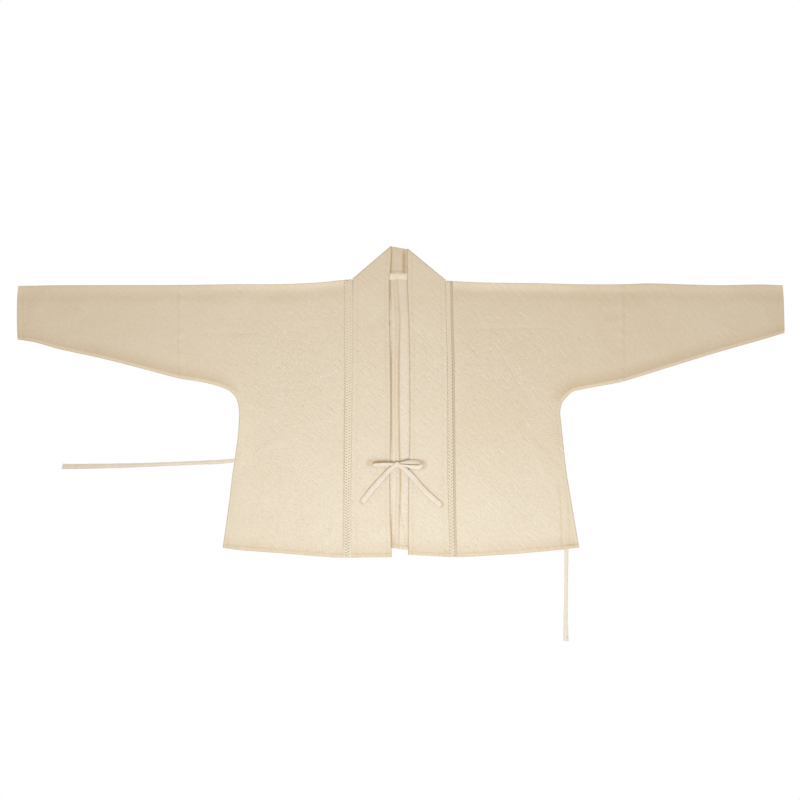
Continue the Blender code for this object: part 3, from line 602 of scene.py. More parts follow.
# Forms of the back: the grooves of its seams and hem from outside, the most that they and the creases rise
OUTER_GROOVE = [(0, 1.3, 0.35)]
STITCH_GROOVE = 0.3
MOST_HOLLOW = 0.45
BACK_FLAP_HEIGHT = 0.5
BACK_HEM_FORM = [(HEM_WIDTH - 0.6, HEM_WIDTH + 0.6, 0.45)]
BACK_VALLEY = [(0, 1.1, -0.25)]
BACK_PUCKER = 0.12
BACK_WAVE = (9.0, 1.0, 31.0)


def back_distances(places):
    """Each place's distances left of the centre back seam and from the back's hem."""
    x, y = places.T
    return line_at("centre_back", y) - x, np.abs(y - table_at(BACK_HEM, x))


def back_painted_light(places):
    """Painted shade of the back cloth's inner side, strongest along the centre back seam, with a painted pale
    line beside the allowance.
    """
    x, y = places.T
    from_seam, to_hem = back_distances(places)
    tone = table_at(SEAM_STRENGTH, y) * bump(from_seam, SEAM_WIDTH) + hills(from_seam, BACK_LINES)
    tone += hills(BACK_PLEAT_PATH.distance(places), PLEAT_LINE)
    tone += BACK_FLAP_TONE * plateau(*BACK_FLAP, from_seam)
    tone += hills(x - line_at("edge_left", y), BESIDE_FRONT)
    return tone + hills(to_hem, BACK_HEM_LINE) + shades(to_hem, BACK_HEM_SHADE)


def back_bottom(places):
    """The height of the back cloth's outer side, which rests on the floor but for its hollows."""
    from_seam, to_hem = back_distances(places)
    grooves = hills(from_seam, OUTER_GROOVE) + hills(places[:, 0] - own(SLEEVE_SEAM, places), OUTER_GROOVE)
    for distance, reach in ((by_side(UNDER_PATHS, places), ALLOWANCE), (to_hem, HEM_WIDTH)):
        grooves += STITCH_GROOVE * bump(distance - reach, GROOVE_WIDTH)
    return np.clip(grooves + creases(places, BACK_CREASES), 0, MOST_HOLLOW)


def back_top(places):
    """The height of the back cloth's inner side, which shows between the two fronts."""
    y = places[:, 1]
    from_seam, to_hem = back_distances(places)
    flap = plateau(*BACK_FLAP, from_seam)
    height = back_bottom(places) + SHEET + BACK_FLAP_HEIGHT * flap + hills(from_seam, BACK_VALLEY)
    height += shades(to_hem, BACK_HEM_FORM)
    return height + BACK_PUCKER * stray(y, *BACK_WAVE) * flap


def inside(places, outline):
    """Whether each place lies in an outline."""
    found = np.zeros(len(places), bool)
    for a, b in zip(outline, np.roll(outline, -1, axis=0)):
        if a[1] == b[1]:
            continue
        spans = (places[:, 1] > min(a[1], b[1])) & (places[:, 1] <= max(a[1], b[1]))
        cross = a[0] + (places[:, 1] - a[1]) * (b[0] - a[0]) / (b[1] - a[1])
        found ^= spans & (places[:, 0] < cross)
    return found


def clearance(places, outline):
    """Each place's distance from the sides of an outline."""
    return away_from(np.vstack([outline, outline[:1]]), places)


def thin_out(groups):
    """Places in groups of (places, spacing), each kept only where it stands clear of those kept before."""
    cell = max(spacing for _, spacing in groups)
    kept, grid = [], {}
    for places, spacing in groups:
        for x, y in places:
            i, j = int(x // cell), int(y // cell)
            near = (place for a in (-1, 0, 1) for b in (-1, 0, 1) for place in grid.get((i + a, j + b), ()))
            if not any((x - u)**2 + (y - v)**2 < spacing**2 for u, v in near):
                grid.setdefault((i, j), []).append((x, y))
                kept.append((x, y))
    return np.array(kept)


# The height of an even triangle, as a share of its side
ROW_SHARE = math.sqrt(0.75)


def staggered(outline, spacing):
    """Places in staggered rows over an outline's box."""
    low, high = outline.min(0), outline.max(0)
    rows = []
    for number, y in enumerate(np.arange(low[1], high[1], spacing * ROW_SHARE)):
        xs = np.arange(low[0] + (number % 2) * spacing / 2, high[0], spacing)
        rows.append(np.stack([xs, np.full(len(xs), y)], axis=1))
    return np.vstack(rows)


def beside(line, offsets, side):
    """Rows of places along a line, moved to one side of it by each offset."""
    line = np.asarray(line, float)[:, :2]
    along = np.gradient(line, axis=0)
    along /= np.maximum(np.linalg.norm(along, axis=1), TINY)[:, None]
    across = np.stack([-along[:, 1], along[:, 0]], axis=1) * side
    return [line + across * offset for offset in offsets]


def fill_outline(outline, loose):
    """Triangles, anticlockwise from above, over an outline and its loose inner places."""
    points = [Vector(p) for p in outline] + [Vector(p) for p in loose]
    edges = [(i, (i + 1) % len(outline)) for i in range(len(outline))]
    _, _, faces, origins, _, _ = delaunay_2d_cdt(points, edges, [], 1, CLOSEST)
    back = [origin[0] for origin in origins]
    return [tuple(back[i] for i in face) for face in faces]


# How many degrees an edge turns before it stays sharp
SHARP = {"cloth": 50.0, "band": 70.0, "braid": 60.0, "tie": 80.0, "knot": 75.0}


def add_mesh(name, points, faces, materials, sharp=SHARP["cloth"], face_material=None, tone=None):
    """One shown piece from points in millimetres, riding on the jacket."""
    mesh = bpy.data.meshes.new(name)
    mesh.from_pydata((np.asarray(points, float) * MM).tolist(), [], [tuple(map(int, f)) for f in faces])
    for material in materials:
        mesh.materials.append(material)
    if face_material is not None:
        mesh.polygons.foreach_set("material_index", face_material)
    # The tone attribute carries painted shade where it is above 0 and painted highlights where it is below
    if tone is not None:
        mesh.attributes.new("tone", "FLOAT", "POINT").data.foreach_set("value", tone)
    mesh.validate()
    mesh.shade_smooth()
    mesh.set_sharp_from_angle(angle=math.radians(sharp))
    piece = bpy.data.objects.new(name, mesh)
    bpy.context.scene.collection.objects.link(piece)
    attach(piece, BODY)
    return piece


def closed_wall(outer, inner, faces):
    """Points and faces of a wall with an outer side, an inner side and rims, and 1 for each inner face."""
    count = len(outer)
    walls = [tuple(face) for face in faces] + [tuple(i + count for i in reversed(face)) for face in faces]
    edges = {}
    for face in faces:
        edges.update(dict.fromkeys(zip(face, face[1:] + face[:1])))
    walls += [(b, a, a + count, b + count) for a, b in edges if (b, a) not in edges]
    sides = [0] * len(faces) + [1] * len(faces)
    return np.vstack([outer, inner]), walls, sides + [0] * (len(walls) - len(sides))


# Mesh spacing, and the rows of points that follow each kind of edge, measured inwards from it
EDGE_STEP = 3.0
CHAIN_STEP = 3.2
FRONT_LATTICE = 4.6
BACK_LATTICE = 9.5
FOLD_ROWS = (3.4, 5.4, 7.6, 10.4, 14.0)
UNDER_ROWS = (3.2, 4.4, 5.2, 6.0, 6.9, 8.0, 10.0, 13.0)
HEM_ROWS = (0.5, 1.3, 2.6, 4.4, 6.0, 6.8, 7.5, 8.3, 9.4, 12.0)
CUFF_ROWS = (0.5, 1.3, 3.0, 5.5, 8.5, 9.9, 10.7, 11.5, 12.5, 14.5)
SEAM_ROWS = (0.5, 1.2, 2.2, 3.6, 5.4, 7.6, 10.0, 12.4)
CREASE_ROWS = (-4.4, -2.4, -1.1, 0.0, 1.1, 2.4, 4.4)

# How far apart loose places stay: in rows, in extra rows, in the lattice by its spacing, by the outline
ROW_CLEAR = 1.5
FINE_CLEAR = 1.0
LATTICE_CLEAR = 0.62
OUTLINE_CLEAR = 0.4


def loose_places(outline, rows, extra, spacing, turn):
    """Places within an outline: rows beside its lines, extra rows, and a lattice between them."""
    groups = [(row, ROW_CLEAR) for line, offsets in rows for row in beside(line, offsets, turn)]
    groups += [(row, FINE_CLEAR) for row in extra]
    groups.append((staggered(outline, spacing), spacing * LATTICE_CLEAR))
    return thin_out([(p[inside(p, outline) & (clearance(p, outline) > OUTLINE_CLEAR)], s) for p, s in groups])


def rounded_fold(chain, front, back, outer, inner, turn):
    """The round that joins front and back along a chain: both walls with its points added, and its faces."""
    columns, outer_arc, inner_arc, faces = [], [], [], []
    for i, (inset, out) in enumerate(zip(chain["inset"], chain["out"])):
        first = len(outer) + len(outer_arc)
        for step in range(1, FOLD_STEPS):
            angle = math.pi * step / FOLD_STEPS
            for arc, wall, reach in ((outer_arc, outer, FOLD_OUT + SHEET), (inner_arc, inner, FOLD_OUT)):
                high, low = wall[front + i, 2], wall[back + i, 2]
                flat = inset + out * reach * math.sin(angle)
                arc.append((*flat, (high + low) / 2 + (high - low) / 2 * math.cos(angle)))
        columns.append([front + i, *range(first, first + FOLD_STEPS - 1), back + i])
    for left, right in zip(columns, columns[1:]):
        for step in range(FOLD_STEPS):
            face = (left[step], left[step + 1], right[step + 1], right[step])
            faces.append(face if turn > 0 else face[::-1])
    return np.vstack([outer, outer_arc]), np.vstack([inner, inner_arc]), faces


def two_layers(name, joins, opens, turn, materials, extra=((), ())):
    """Front and back cloth, joined along two lines by rounded folds, open along their other edges.

    joins are the lines of the top fold and of the underside. opens holds what follows each of them in the
    outline: the front's and the back's edges, as lines with their rows. turn is 1 where the outline runs
    anticlockwise from above, and -1 where it runs the other way. extra holds each layer's own rows of points.
    """
    chains = []
    for line, rows in zip(joins, (FOLD_ROWS, UNDER_ROWS)):
        points = np.asarray(line, float)[:, :2]
        out = beside(points, [-1.0], turn)[0] - points
        inset = points - out * (FOLD_OUT + SHEET)
        chains.append({"points": points, "out": out, "rows": rows, "inset": inset})

    outer, inner, faces, spots, painted_light = [], [], [], [], []
    for layer, spacing in enumerate((FRONT_LATTICE, BACK_LATTICE)):
        first_open, second_open = [np.vstack([line for line, _ in edges[layer]]) for edges in opens]
        outline = np.vstack([chains[0]["inset"], first_open, chains[1]["inset"], second_open])
        rows = [(chain["points"], chain["rows"]) for chain in chains] + opens[0][layer] + opens[1][layer]
        loose = loose_places(outline, rows, extra[layer], spacing, turn)
        base = sum(len(part) for part in outer)
        for a, b, c in fill_outline(outline, loose):
            face = (base + a, base + b, base + c)
            faces.append(face if layer == 0 else face[::-1])
        places = np.vstack([outline, loose])
        if layer == 0:
            out_z = front_top(places)
            in_z = out_z - SHEET
            painted_light.append((front_painted_light(places), np.zeros(len(places))))
        else:
            out_z, in_z = back_bottom(places), back_top(places)
            painted_light.append((np.zeros(len(places)), back_painted_light(places)))
        outer.append(np.column_stack([places, out_z]))
        inner.append(np.column_stack([places, in_z]))
        spots.append((base, base + len(chains[0]["inset"]) + len(first_open)))
    outer, inner = np.vstack(outer), np.vstack(inner)

    for number, chain in enumerate(chains):
        outer, inner, more = rounded_fold(chain, spots[0][number], spots[1][number], outer, inner, turn)
        faces += more
    rounds = fold_painted_light(outer[sum(len(tone) for tone, _ in painted_light):, :2])
    tone = np.concatenate([painted_light[0][0], painted_light[1][0], rounds, painted_light[0][1], painted_light[1][1], rounds])
    points, walls, sides = closed_wall(outer, inner, faces)
    return add_mesh(name, points, walls, materials, face_material=sides, tone=tone)


# Rows beside the body's inner edges
COLLAR_ROWS = (0.6, 1.6, 4.0, 8.0)
BACK_SEAM_ROWS = (0.5, 1.3, 2.3, 4.2, 6.2, 7.1, 7.9, 9.2, 12.0, 15.0)
NECK_ROWS = (0.6, 1.6, 3.4)
NECK_GAP = 0.05
CLOSE = 0.03
CORNER = 4.5
SEAM_POINTS = 60

# Rows beside the tack's outer lines, with their step, and beside the inner tie, with how far they pass it
TACK_ROWS = (-1.6, -0.7, 0.0, 0.7, 1.6)
TACK_STEP = 2.0
HUMP_ROWS = (0.0, 2.0, 3.4, 4.6, 5.8, 7.2, 9.0)
HUMP_PAST = 12.0


def collar_fold(side):
    """One slanting fold of the collar: its ends, and its directions along and outwards."""
    a, b = np.array(COLLAR_FOLD[side])
    along = (b - a) / np.linalg.norm(b - a)
    return a, b, along, np.array((along[1], -along[0])) * SIGN[side]


def neck_seam(x):
    """The y of the seam between the back cloth and the band behind the neck."""
    corners = []
    for side in SIDES:
        start, _, _, out = collar_fold(side)
        corners.append(start - out * COLLAR_INSET)
    return float(np.interp(x, *np.array(corners).T)) - NECK_GAP


def hem_line(path, start_x, end_x):
    """A hem's places from the middle of the jacket outwards, clear of the one at the side seam."""
    end_x -= math.copysign(CORNER, end_x)
    xs = np.linspace(start_x, end_x, round(abs(end_x - start_x) / EDGE_STEP))
    return np.array([path.at(path.where(0, x))[:2] for x in xs])


def upright(x, low, high):
    """An upright edge of evenly spaced places."""
    return np.column_stack([np.full(SEAM_POINTS, x), np.linspace(low, high, SEAM_POINTS)])


def fine_rows(side):
    """Rows of points for one side's small forms: its sharp creases, and its tack or its inner tie."""
    fine = []
    for x0, y0, x1, y1, bow, width, _ in CREASES:
        if width < CREASE_ROWS[-1] and x0 * SIGN[side] > 0:
            shares = np.linspace(0, 1, round(abs(x1 - x0) / EDGE_STEP))
            ys = y0 + (y1 - y0) * shares + bow * (1 - (2 * shares - 1)**2)
            fine += beside(np.column_stack([x0 + (x1 - x0) * shares, ys]), CREASE_ROWS, 1)
    if side == "left":
        xs = np.arange(TACK_X[0] + 1, TACK_X[-1] + TACK_STEP, TACK_STEP)
        for y in (TACK_Y[0], TACK_Y[-1]):
            fine += beside([(x, y) for x in xs], TACK_ROWS, 1)
    else:
        line = INNER_TIE_PATH.run(0, INNER_TIE_PATH.lengths[-1] + HUMP_PAST, EDGE_STEP)
        fine += beside(line, HUMP_ROWS, 1) + beside(line, HUMP_ROWS[1:], -1)
    return fine


def body_half(side, materials):
    """One cloth: the front from the collar seam to the side, and the back, over the shoulder fold."""
    sign = SIGN[side]
    seam = SLEEVE_SEAM[side] - sign * CLOSE / 2
    fold, under = FOLD_PATHS[side], UNDER_PATHS[side]
    top = fold.run(fold.where(0, seam), fold.lengths[-1], CHAIN_STEP)
    down = under.run(under.where(0, seam), under.lengths[-1], CHAIN_STEP)

    neck = top[-1][1]
    heights = np.linspace(neck - CORNER, HEM_Y, round((neck - HEM_Y) / EDGE_STEP))
    collar_seam = np.column_stack([line_at("seam_" + side, heights) + sign * GAP / 2, heights])
    hem = hem_line(FRONT_HEM_PATH, collar_seam[-1][0], down[-1][0])
    middle = np.column_stack([line_at("centre_back", heights), heights])
    middle = middle[middle[:, 1] > BACK_HEM_PATH.at(BACK_HEM_PATH.where(0, middle[-1][0]))[1] + 1]
    back_hem = hem_line(BACK_HEM_PATH, middle[-1][0], down[-1][0])
    middle = middle[middle[:, 1] < neck_seam(middle[0][0]) - 1]
    neck_xs = np.linspace(top[-1][0], middle[0][0], round(abs(top[-1][0] - middle[0][0]) / EDGE_STEP))[1:]
    neckline = np.column_stack([neck_xs, [neck_seam(x) for x in neck_xs]])

    edge = [(upright(seam, down[0][1] + CORNER, top[0][1] - CORNER), SEAM_ROWS)]
    front_opens = [(collar_seam, COLLAR_ROWS), (hem, HEM_ROWS)]
    back_opens = [(neckline, NECK_ROWS), (middle, BACK_SEAM_ROWS), (back_hem, HEM_ROWS)]
    opens = ((front_opens, back_opens), (edge, edge))
    piece = two_layers("cloth_body_" + side, (top, down[::-1]), opens, sign, materials, (fine_rows(side), []))
    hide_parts("body_" + side)
    return piece


def sleeve_end(side, materials):
    """One cloth, folded along the top and sewn along the underside."""
    sign = SIGN[side]
    seam = SLEEVE_SEAM[side] + sign * CLOSE / 2
    fold, under, cuff = FOLD_PATHS[side], UNDER_PATHS[side], CUFF_PATHS[side]
    top = fold.run(0.0, fold.where(0, seam), CHAIN_STEP)
    bottom = under.run(0.0, under.where(0, seam), CHAIN_STEP)
    seam_edge = [(upright(seam, top[-1][1] - CORNER, bottom[-1][1] + CORNER), SEAM_ROWS)]
    cuff_edge = [(cuff.run(CORNER, cuff.lengths[-1] - CORNER, EDGE_STEP), CUFF_ROWS)]
    opens = ((seam_edge, seam_edge), (cuff_edge, cuff_edge))
    piece = two_layers("cloth_sleeve_" + side, (top, bottom[::-1]), opens, sign, materials)
    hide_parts("sleeve_" + side)
    return piece


# Collar band: rows across it and along it, in millimetres from its edges
BAND_EDGE = (0.0, 0.35, 0.9, 1.8, 3.2, 5.0, 7.2)
BAND_STEP = 2.2
ROW_STEP = 4.0
BOW_ROWS = (-218.0, -104.0, 1.6)
BAND_WIDTH = 76.0
NECK_ROWS_COUNT = 48

# The band's rounded edges, at its seam and at the front: how far in they reach, the rim's share of thickness
BAND_ROUND = (0.8, 1.8)
BAND_RIM = (0.7, 0.3)

# Forms of the band: unevenness as spacing, height, seed; hills from the front edge as distance, width, height
BAND_WAVES = (40, 0.3, 5.2)
BAND_FORM = [(3, 3, 0.2), (8.5, 2.2, -0.22)]

# Painted shade on the band from each edge: shades as near, far, strength; lines as distance, width, strength
BAND_SHADES = {"seam": [(0, 1.6, 0.12)], "front": [(0.3, 2.4, 0.75)], "hem": [(4, 38, 0.32), (0, 2.5, 0.2)]}
BAND_LINES = {"seam": [(10, 1.6, 0.12)], "front": [(8.5, 1.2, 0.22)], "hem": [(HEM_WIDTH, 1.5, 0.15)]}

# How the relief comes in beside the slanting folds, as shares of their dip; its loss at the very hem; how far
# apart the steps along the band stay
RELIEF_STARTS = (0, 0.5)
HEM_LOSS = 0.4
STEP_APART = 0.001

# Behind the neck: the turned band's ridge from its seam; its ripple's height, width and turns along it
NECK_RIDGE = 2.0
NECK_RIDGE_SPAN = ((-2.0, 13.0), (13.0, 24.0))
NECK_RIPPLE = (0.25, 9.0, 4.0)


def hem_height(x):
    """The front hem's y at an x."""
    return FRONT_HEM_PATH.at(FRONT_HEM_PATH.where(0, x))[1]


def band_shares():
    """Where the band's rows of points lie across it: 0 at the collar seam, 1 at the front edge."""
    near = np.array(BAND_EDGE)
    middle = np.linspace(near[-1], BAND_WIDTH - near[-1], round((BAND_WIDTH - 2 * near[-1]) / BAND_STEP) + 1)
    return np.concatenate([near[:-1], middle, BAND_WIDTH - near[-2::-1]]) / BAND_WIDTH


def band_half(shares):
    """Half the band's thickness across it: its edges are rounded."""
    from_edge = np.minimum(shares, 1 - shares) * BAND_WIDTH
    radius, rim = [np.where(shares < 0.5, *pair) for pair in (BAND_ROUND, BAND_RIM)]
    return BAND / 2 * (rim + (1 - rim) * np.sqrt(1 - (1 - np.clip(from_edge / radius, 0, 1))**2))


def band_distances(places, shares):
    """Each place's distances from the band's seam, its front edge and its hem."""
    from_hem = places[:, 1] - table_at(FRONT_HEM, places[:, 0])
    return {"seam": shares * BAND_WIDTH, "front": (1 - shares) * BAND_WIDTH, "hem": from_hem}


def band_relief(places, shares):
    """What the band's upper side adds: soft creases, and the grooves beside its edges."""
    edges = band_distances(places, shares)
    form = creases(places, COLLAR_CREASES) + waves(places, *BAND_WAVES)
    return form + hills(edges["front"], BAND_FORM) + strip(edges["hem"], HEM_WIDTH)


def band_painted_shade(places, shares):
    """Painted shade of the band at its edges and stitched lines, and the bow's painted shadow on it."""
    tone = painted_bow_shadow(places)
    for edge, distance in band_distances(places, shares).items():
        tone += shades(distance, BAND_SHADES[edge]) + hills(distance, BAND_LINES[edge])
    return tone


# Soft painted shadow on the band beside the bow: line, shift, distance at which it starts, reach, strength
TIE_SHADES = [
    ([(-24.0, -139.0), (-41.2, -157.8), (-58.2, -177.0), (-75.0, -199.0)], (-0.5, 0.4), 5.2, 1.9, 0.6),
    ([(8.0, -134.0), (20.8, -146.6), (33.8, -162.2), (64.8, -193.4), (79.0, -205.6)],
     (0.9, 0.8), 5.0, 1.8, 0.65),
    ([(-16.0, -123.0), (-40.0, -123.4), (-60.0, -124.0)], (-2.0, 2.2), 3.6, 4.6, 0.5),
    ([(6.0, -124.4), (24.0, -124.8), (41.0, -125.2)], (1.2, 0.6), 6.8, 3.8, 0.6),
]
TIE_SHADE_PATHS = [Path(row[0], fine=3) for row in TIE_SHADES]

# Painted shade behind the neck, by height over the band's seam: plain; where it comes by the folds, and fades
NECK_PLAIN = 0.25
NECK_SHADE = (6, 22)
NECK_FADES = (46, 64)
NECK_LOST = 0.7
NECK_LINES = [(0.3, 1.2, 0.3), (17, 2, 0.15)]

# The painted shade by the left fold as a line, and by the right one along x: its span and tone, and a line
NECK_LEFT = [(1.4, 1.7, 0.9)]
NECK_RIGHT = ((2, 4), (9, 10.5))
NECK_RIGHT_TONE = 0.35
NECK_RIGHT_LINE = [(7.0, 2.4, 0.6)]

# The painted highlight where the band turns down to the seam: where it rises and falls, how pale, how
# patchy; its patches' sizes, start
NECK_TURN = ((0.0, 4.0), (10.5, 15.5))
NECK_PALE = 1.75
NECK_PATCHY = 0.35
NECK_PATCH = (3.4, 3.1, 1.2)

# How unevenly that turn runs along the neck: amount, length, start
NECK_WAVES = [(0.9, 4.2, 0.0), (0.5, 1.9, 2.0)]


def painted_bow_shadow(places):
    """The shadow that the bow casts on the band, painted into its colour."""
    tone = np.zeros(len(places))
    for path, (_, shift, start, reach, strength) in zip(TIE_SHADE_PATHS, TIE_SHADES):
        tone = np.maximum(tone, strength * bump(path.distance(places - shift) - start, reach))
    return tone


def neck_painted_light(places):
    """The band behind the neck: painted shade beside its folds, a painted highlight where it turns down to
    its seam.
    """
    x, y = places.T
    above = y - neck_seam(0.0)
    painted_shade = hills(x - line_at("edge_left", y), NECK_LEFT) + hills(x, NECK_RIGHT_LINE)
    painted_shade += NECK_RIGHT_TONE * plateau(*NECK_RIGHT, x)
    painted_shade *= smooth(*NECK_SHADE, above) * (1 - NECK_LOST * smooth(*NECK_FADES, above))
    wide, high, start = NECK_PATCH
    patches = 1 + NECK_PATCHY * np.sin(x / wide + start) * np.sin(above / high)
    uneven = above + sum(amount * np.sin(x / length + start) for amount, length, start in NECK_WAVES)
    highlight = NECK_PALE * patches * plateau(*NECK_TURN, uneven)
    return NECK_PLAIN + painted_shade - highlight + hills(above, NECK_LINES)


def collar_stretch(side, shares):
    """One side's front stretch of the band, from hem to slanting fold; the fold's line and its way out."""
    sign = SIGN[side]
    a, b, along, out = collar_fold(side)
    insets = a + (b - a) * shares[:, None] - out * COLLAR_INSET
    hems = [hem_height(float(line_at(line + side, HEM_Y))) for line in ("seam_", "edge_")]
    length = a[1] - hems[0]
    near = np.array(HEM_ROWS) / length
    steps = np.concatenate([[0.0], near, np.linspace(near[-1], 1, round(length / ROW_STEP))[1:]])
    fine = (np.arange(*BOW_ROWS) - hems[0]) / length
    steps = np.concatenate([steps[steps < fine[0] - STEP_APART], fine, steps[steps > fine[-1] + STEP_APART]])
    rows = []
    low = BAND / 2 + BAND + COLLAR_GAP
    half = band_half(shares)
    for step in steps:
        y = (hems[0] + (hems[1] - hems[0]) * shares) * (1 - step) + insets[:, 1] * step
        seam = line_at("seam_" + side, y) - sign * GAP / 2
        x = seam + (line_at("edge_" + side, y) - seam) * shares
        x += (insets[:, 0] - x) * max(0.0, (step - NECK_BLEND) / (1 - NECK_BLEND))
        places = np.column_stack([x, y])
        from_fold = np.abs(along[0] * (y - a[1]) - along[1] * (x - a[0]))
        dip = np.clip(from_fold / COLLAR_DIP, 0, 1)
        middle = low + (solid_under(places) + BAND / 2 - low) * dip
        relief = band_relief(places, shares) * smooth(*RELIEF_STARTS, dip) * (1 - HEM_LOSS * (step < near[0]))
        rows.append((places, middle, half + relief, half, band_painted_shade(places, shares)))
    return rows, insets, out


def collar_band(materials):
    """One band from hem to hem, folded back at both sides of the neck and running behind it."""
    shares = band_shares()
    half = band_half(shares)
    outer, inner, outer_tone, inner_tone = [], [], [], []

    def add_stretch(rows, order):
        for places, middle, above, below, tone in rows[::order]:
            outer.append(np.column_stack([places, middle + above]))
            inner.append(np.column_stack([places, middle - below]))
            outer_tone.append(tone)
            inner_tone.append(np.zeros(len(tone)))

    def add_fold(insets, out, order):
        for step in range(1, FOLD_STEPS)[::order]:
            sine, cosine = math.sin(math.pi * step / FOLD_STEPS), math.cos(math.pi * step / FOLD_STEPS)
            # Painted shade on the band's rounded folds
            outer_tone.append(np.full(len(shares), FOLD_TONE))
            inner_tone.append(np.full(len(shares), FOLD_TONE))
            height = BAND / 2 + COLLAR_ROUND * (1 + cosine)
            for wall, size in ((outer, half), (inner, -half)):
                flat = insets + out * ((COLLAR_ROUND + size) * sine)[:, None]
                wall.append(np.column_stack([flat, height + size * cosine]))

    left, start, out_left = collar_stretch("left", shares)
    right, end, out_right = collar_stretch("right", shares)
    add_stretch(left, 1)
    add_fold(start, out_left, 1)
    from_seam = shares * BAND_WIDTH
    ridge = NECK_RIDGE * plateau(*NECK_RIDGE_SPAN, from_seam)
    ripple, width, turns = NECK_RIPPLE
    for step in np.linspace(0, 1, NECK_ROWS_COUNT):
        places = start * (1 - step) + end * step
        lift = (ridge + ripple * np.sin(from_seam / width + turns * step)) * math.sin(math.pi * step)
        outer.append(np.column_stack([places, BAND / 2 - half]))
        inner.append(np.column_stack([places, BAND / 2 + half + np.maximum(lift, 0)]))
        outer_tone.append(np.zeros(len(shares)))
        inner_tone.append(neck_painted_light(places))
    add_fold(end, out_right, -1)
    add_stretch(right, -1)

    count = len(shares)
    faces = [(i * count + j, i * count + j + 1, (i + 1) * count + j + 1, (i + 1) * count + j)
             for i in range(len(outer) - 1) for j in range(count - 1)]
    points, walls, sides = closed_wall(np.vstack(outer), np.vstack(inner), faces)
    piece = add_mesh("cloth_collar_band", points, walls, materials, sharp=SHARP["band"], face_material=sides,
                     tone=np.concatenate(outer_tone + inner_tone))
    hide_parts("collar_band")
    return piece


# Braid: three strands plaited over a tape, with a twisted cord along each side
PLAIT_PITCH = {"left": 16.8, "right": 20.4}
PLAIT_STEPS = 18
STRAND_WIDTH = {"left": 4.2, "right": 3.8}
STRAND_THICK = 1.7
STRAND_LIFT = 0.4
STRANDS = 3
CORD_SIDES = 8
BRAID_END = 1.0
LEVEL_ENOUGH = 0.35
STRAND_FORM = [(1.0, -0.1), (0.9, 0.45), (0.64, 0.84), (0.34, 1.0), (0.0, 0.94), (-0.34, 1.0), (-0.64, 0.84),
               (-0.9, 0.45), (-1.0, -0.1), (-0.8, -0.8), (0.8, -0.8)]
EDGE_CORD = {"left": 0.52, "right": 0.34}
STRAND_OVER = {"left": 0.76, "right": 0.4}
PLAIT_SHIFT = {"left": 0.5, "right": 2.0}
BRAID_OVER = 0.5
EDGE_TWIST = 2.6

# The braid rests on the highest cloth under these shares of its half width, lifted a little
BRAID_RESTS = (-0.9, 0.0, 0.9)
BRAID_LIFT = 0.06

# The tape under the strands: its corners, its thickness, how much narrower than the braid it is
TAPE_FORM = [(1, -1), (1, 1), (-1, 1), (-1, -1)]
TAPE_THICK = 0.2
TAPE_INSET = 1.2

# How far the cords at the edges waver, across and up; where the tone of the edges starts, from middle to side
CORD_WAVER = (0.22, 0.022)
EDGE_STARTS = (0.4, 0.8)

# Painted shade on the braid: the cords at its seam side and outer side, the tape; how much the strands keep
# at their edges; between its strands, by height
CORD_TONE = {"left": (0.05, 0.0), "right": (0.2, 0.6)}
TAPE_TONE = {"left": 0.05, "right": 0.62}
EDGE_SHARE = {"left": 0.15, "right": 0.9}
STRAND_TONE = {
    "left": [
        (-310, 1.1), (-230, 1.0), (-190, 1.1), (-140, 1.6), (-60, 1.1), (60, 0.65), (140, 0.35), (240, 0.25),
    ],
    "right": [
        (-310, 1.1), (-230, 0.95), (-190, 0.95), (-120, 1.15), (-60, 1.1), (60, 0.95), (140, 0.55),
        (240, 0.25),
    ],
}
# Painted highlight on the strands' crests, by height up the front; where the crest starts and ends, as shares
# of the braid's full height
STRAND_SHINE = {
    "left": [(-250, 0.0), (-180, 0.3), (-140, 0.8), (240, 0.8)],
    "right": [(-260, 0.0), (-200, 0.3), (-160, 0.6), (240, 0.6)],
}
CREST = (0.58, 1.0)

# How high the strands stand over the tape, by height up the front
PLAIT_RISE = {
    "left": [
        (-310, 0.8), (-230, 0.8), (-190, 1.0), (-140, 1.4), (-60, 1.2), (40, 0.85), (140, 0.55), (240, 0.5),
    ],
    "right": [(-310, 0.5), (-240, 0.6), (-190, 0.8), (-140, 1.05), (60, 1.0), (140, 0.65), (240, 0.35)],
}


def circle(count):
    """Evenly spaced places round a circle of radius 1."""
    angles = 2 * math.pi * np.arange(count) / count
    return np.column_stack([np.cos(angles), np.sin(angles)])


def tube(rings):
    """Points and faces of a closed tube through rings of equal counts."""
    count = len(rings[0])
    last = (len(rings) - 1) * count
    faces = [(i + j, i + (j + 1) % count, i + count + (j + 1) % count, i + count + j)
             for i in range(0, last, count) for j in range(count)]
    faces += [tuple(range(count))[::-1], tuple(range(last, last + count))]
    return np.vstack(rings), faces


def joined(parts):
    """One list of points and faces from several."""
    points, faces, base = [], [], 0
    for part_points, part_faces in parts:
        points.append(part_points)
        faces += [tuple(i + base for i in face) for face in part_faces]
        base += len(part_points)
    return np.vstack(points), faces


def swept(middle, form, widths, thick, tilts=None):
    """A tube that carries a flat form along a line, its width level with the ground but for its tilt."""
    along = np.gradient(middle, axis=0)
    along /= np.linalg.norm(along, axis=1)[:, None]
    side, sides = None, []
    for x, y, _ in along:
        flat = np.array((-y, x, 0.0))
        if side is None or np.linalg.norm(flat) > LEVEL_ENOUGH:
            flat /= np.linalg.norm(flat)
            side = -flat if side is not None and flat @ side < 0 else flat
        sides.append(side)
    tilts = np.zeros(len(along)) if tilts is None else tilts
    across = np.array(sides) * np.cos(tilts)[:, None] - np.outer(np.sin(tilts), (0, 0, 1))
    up = np.cross(along, across)
    form = np.array(form) / 2
    rings = []
    for place, width, right, above in zip(middle, widths, across, up):
        rings.append(place + np.outer(form[:, 0] * width, right) + np.outer(form[:, 1] * thick, above))
    return tube(rings)


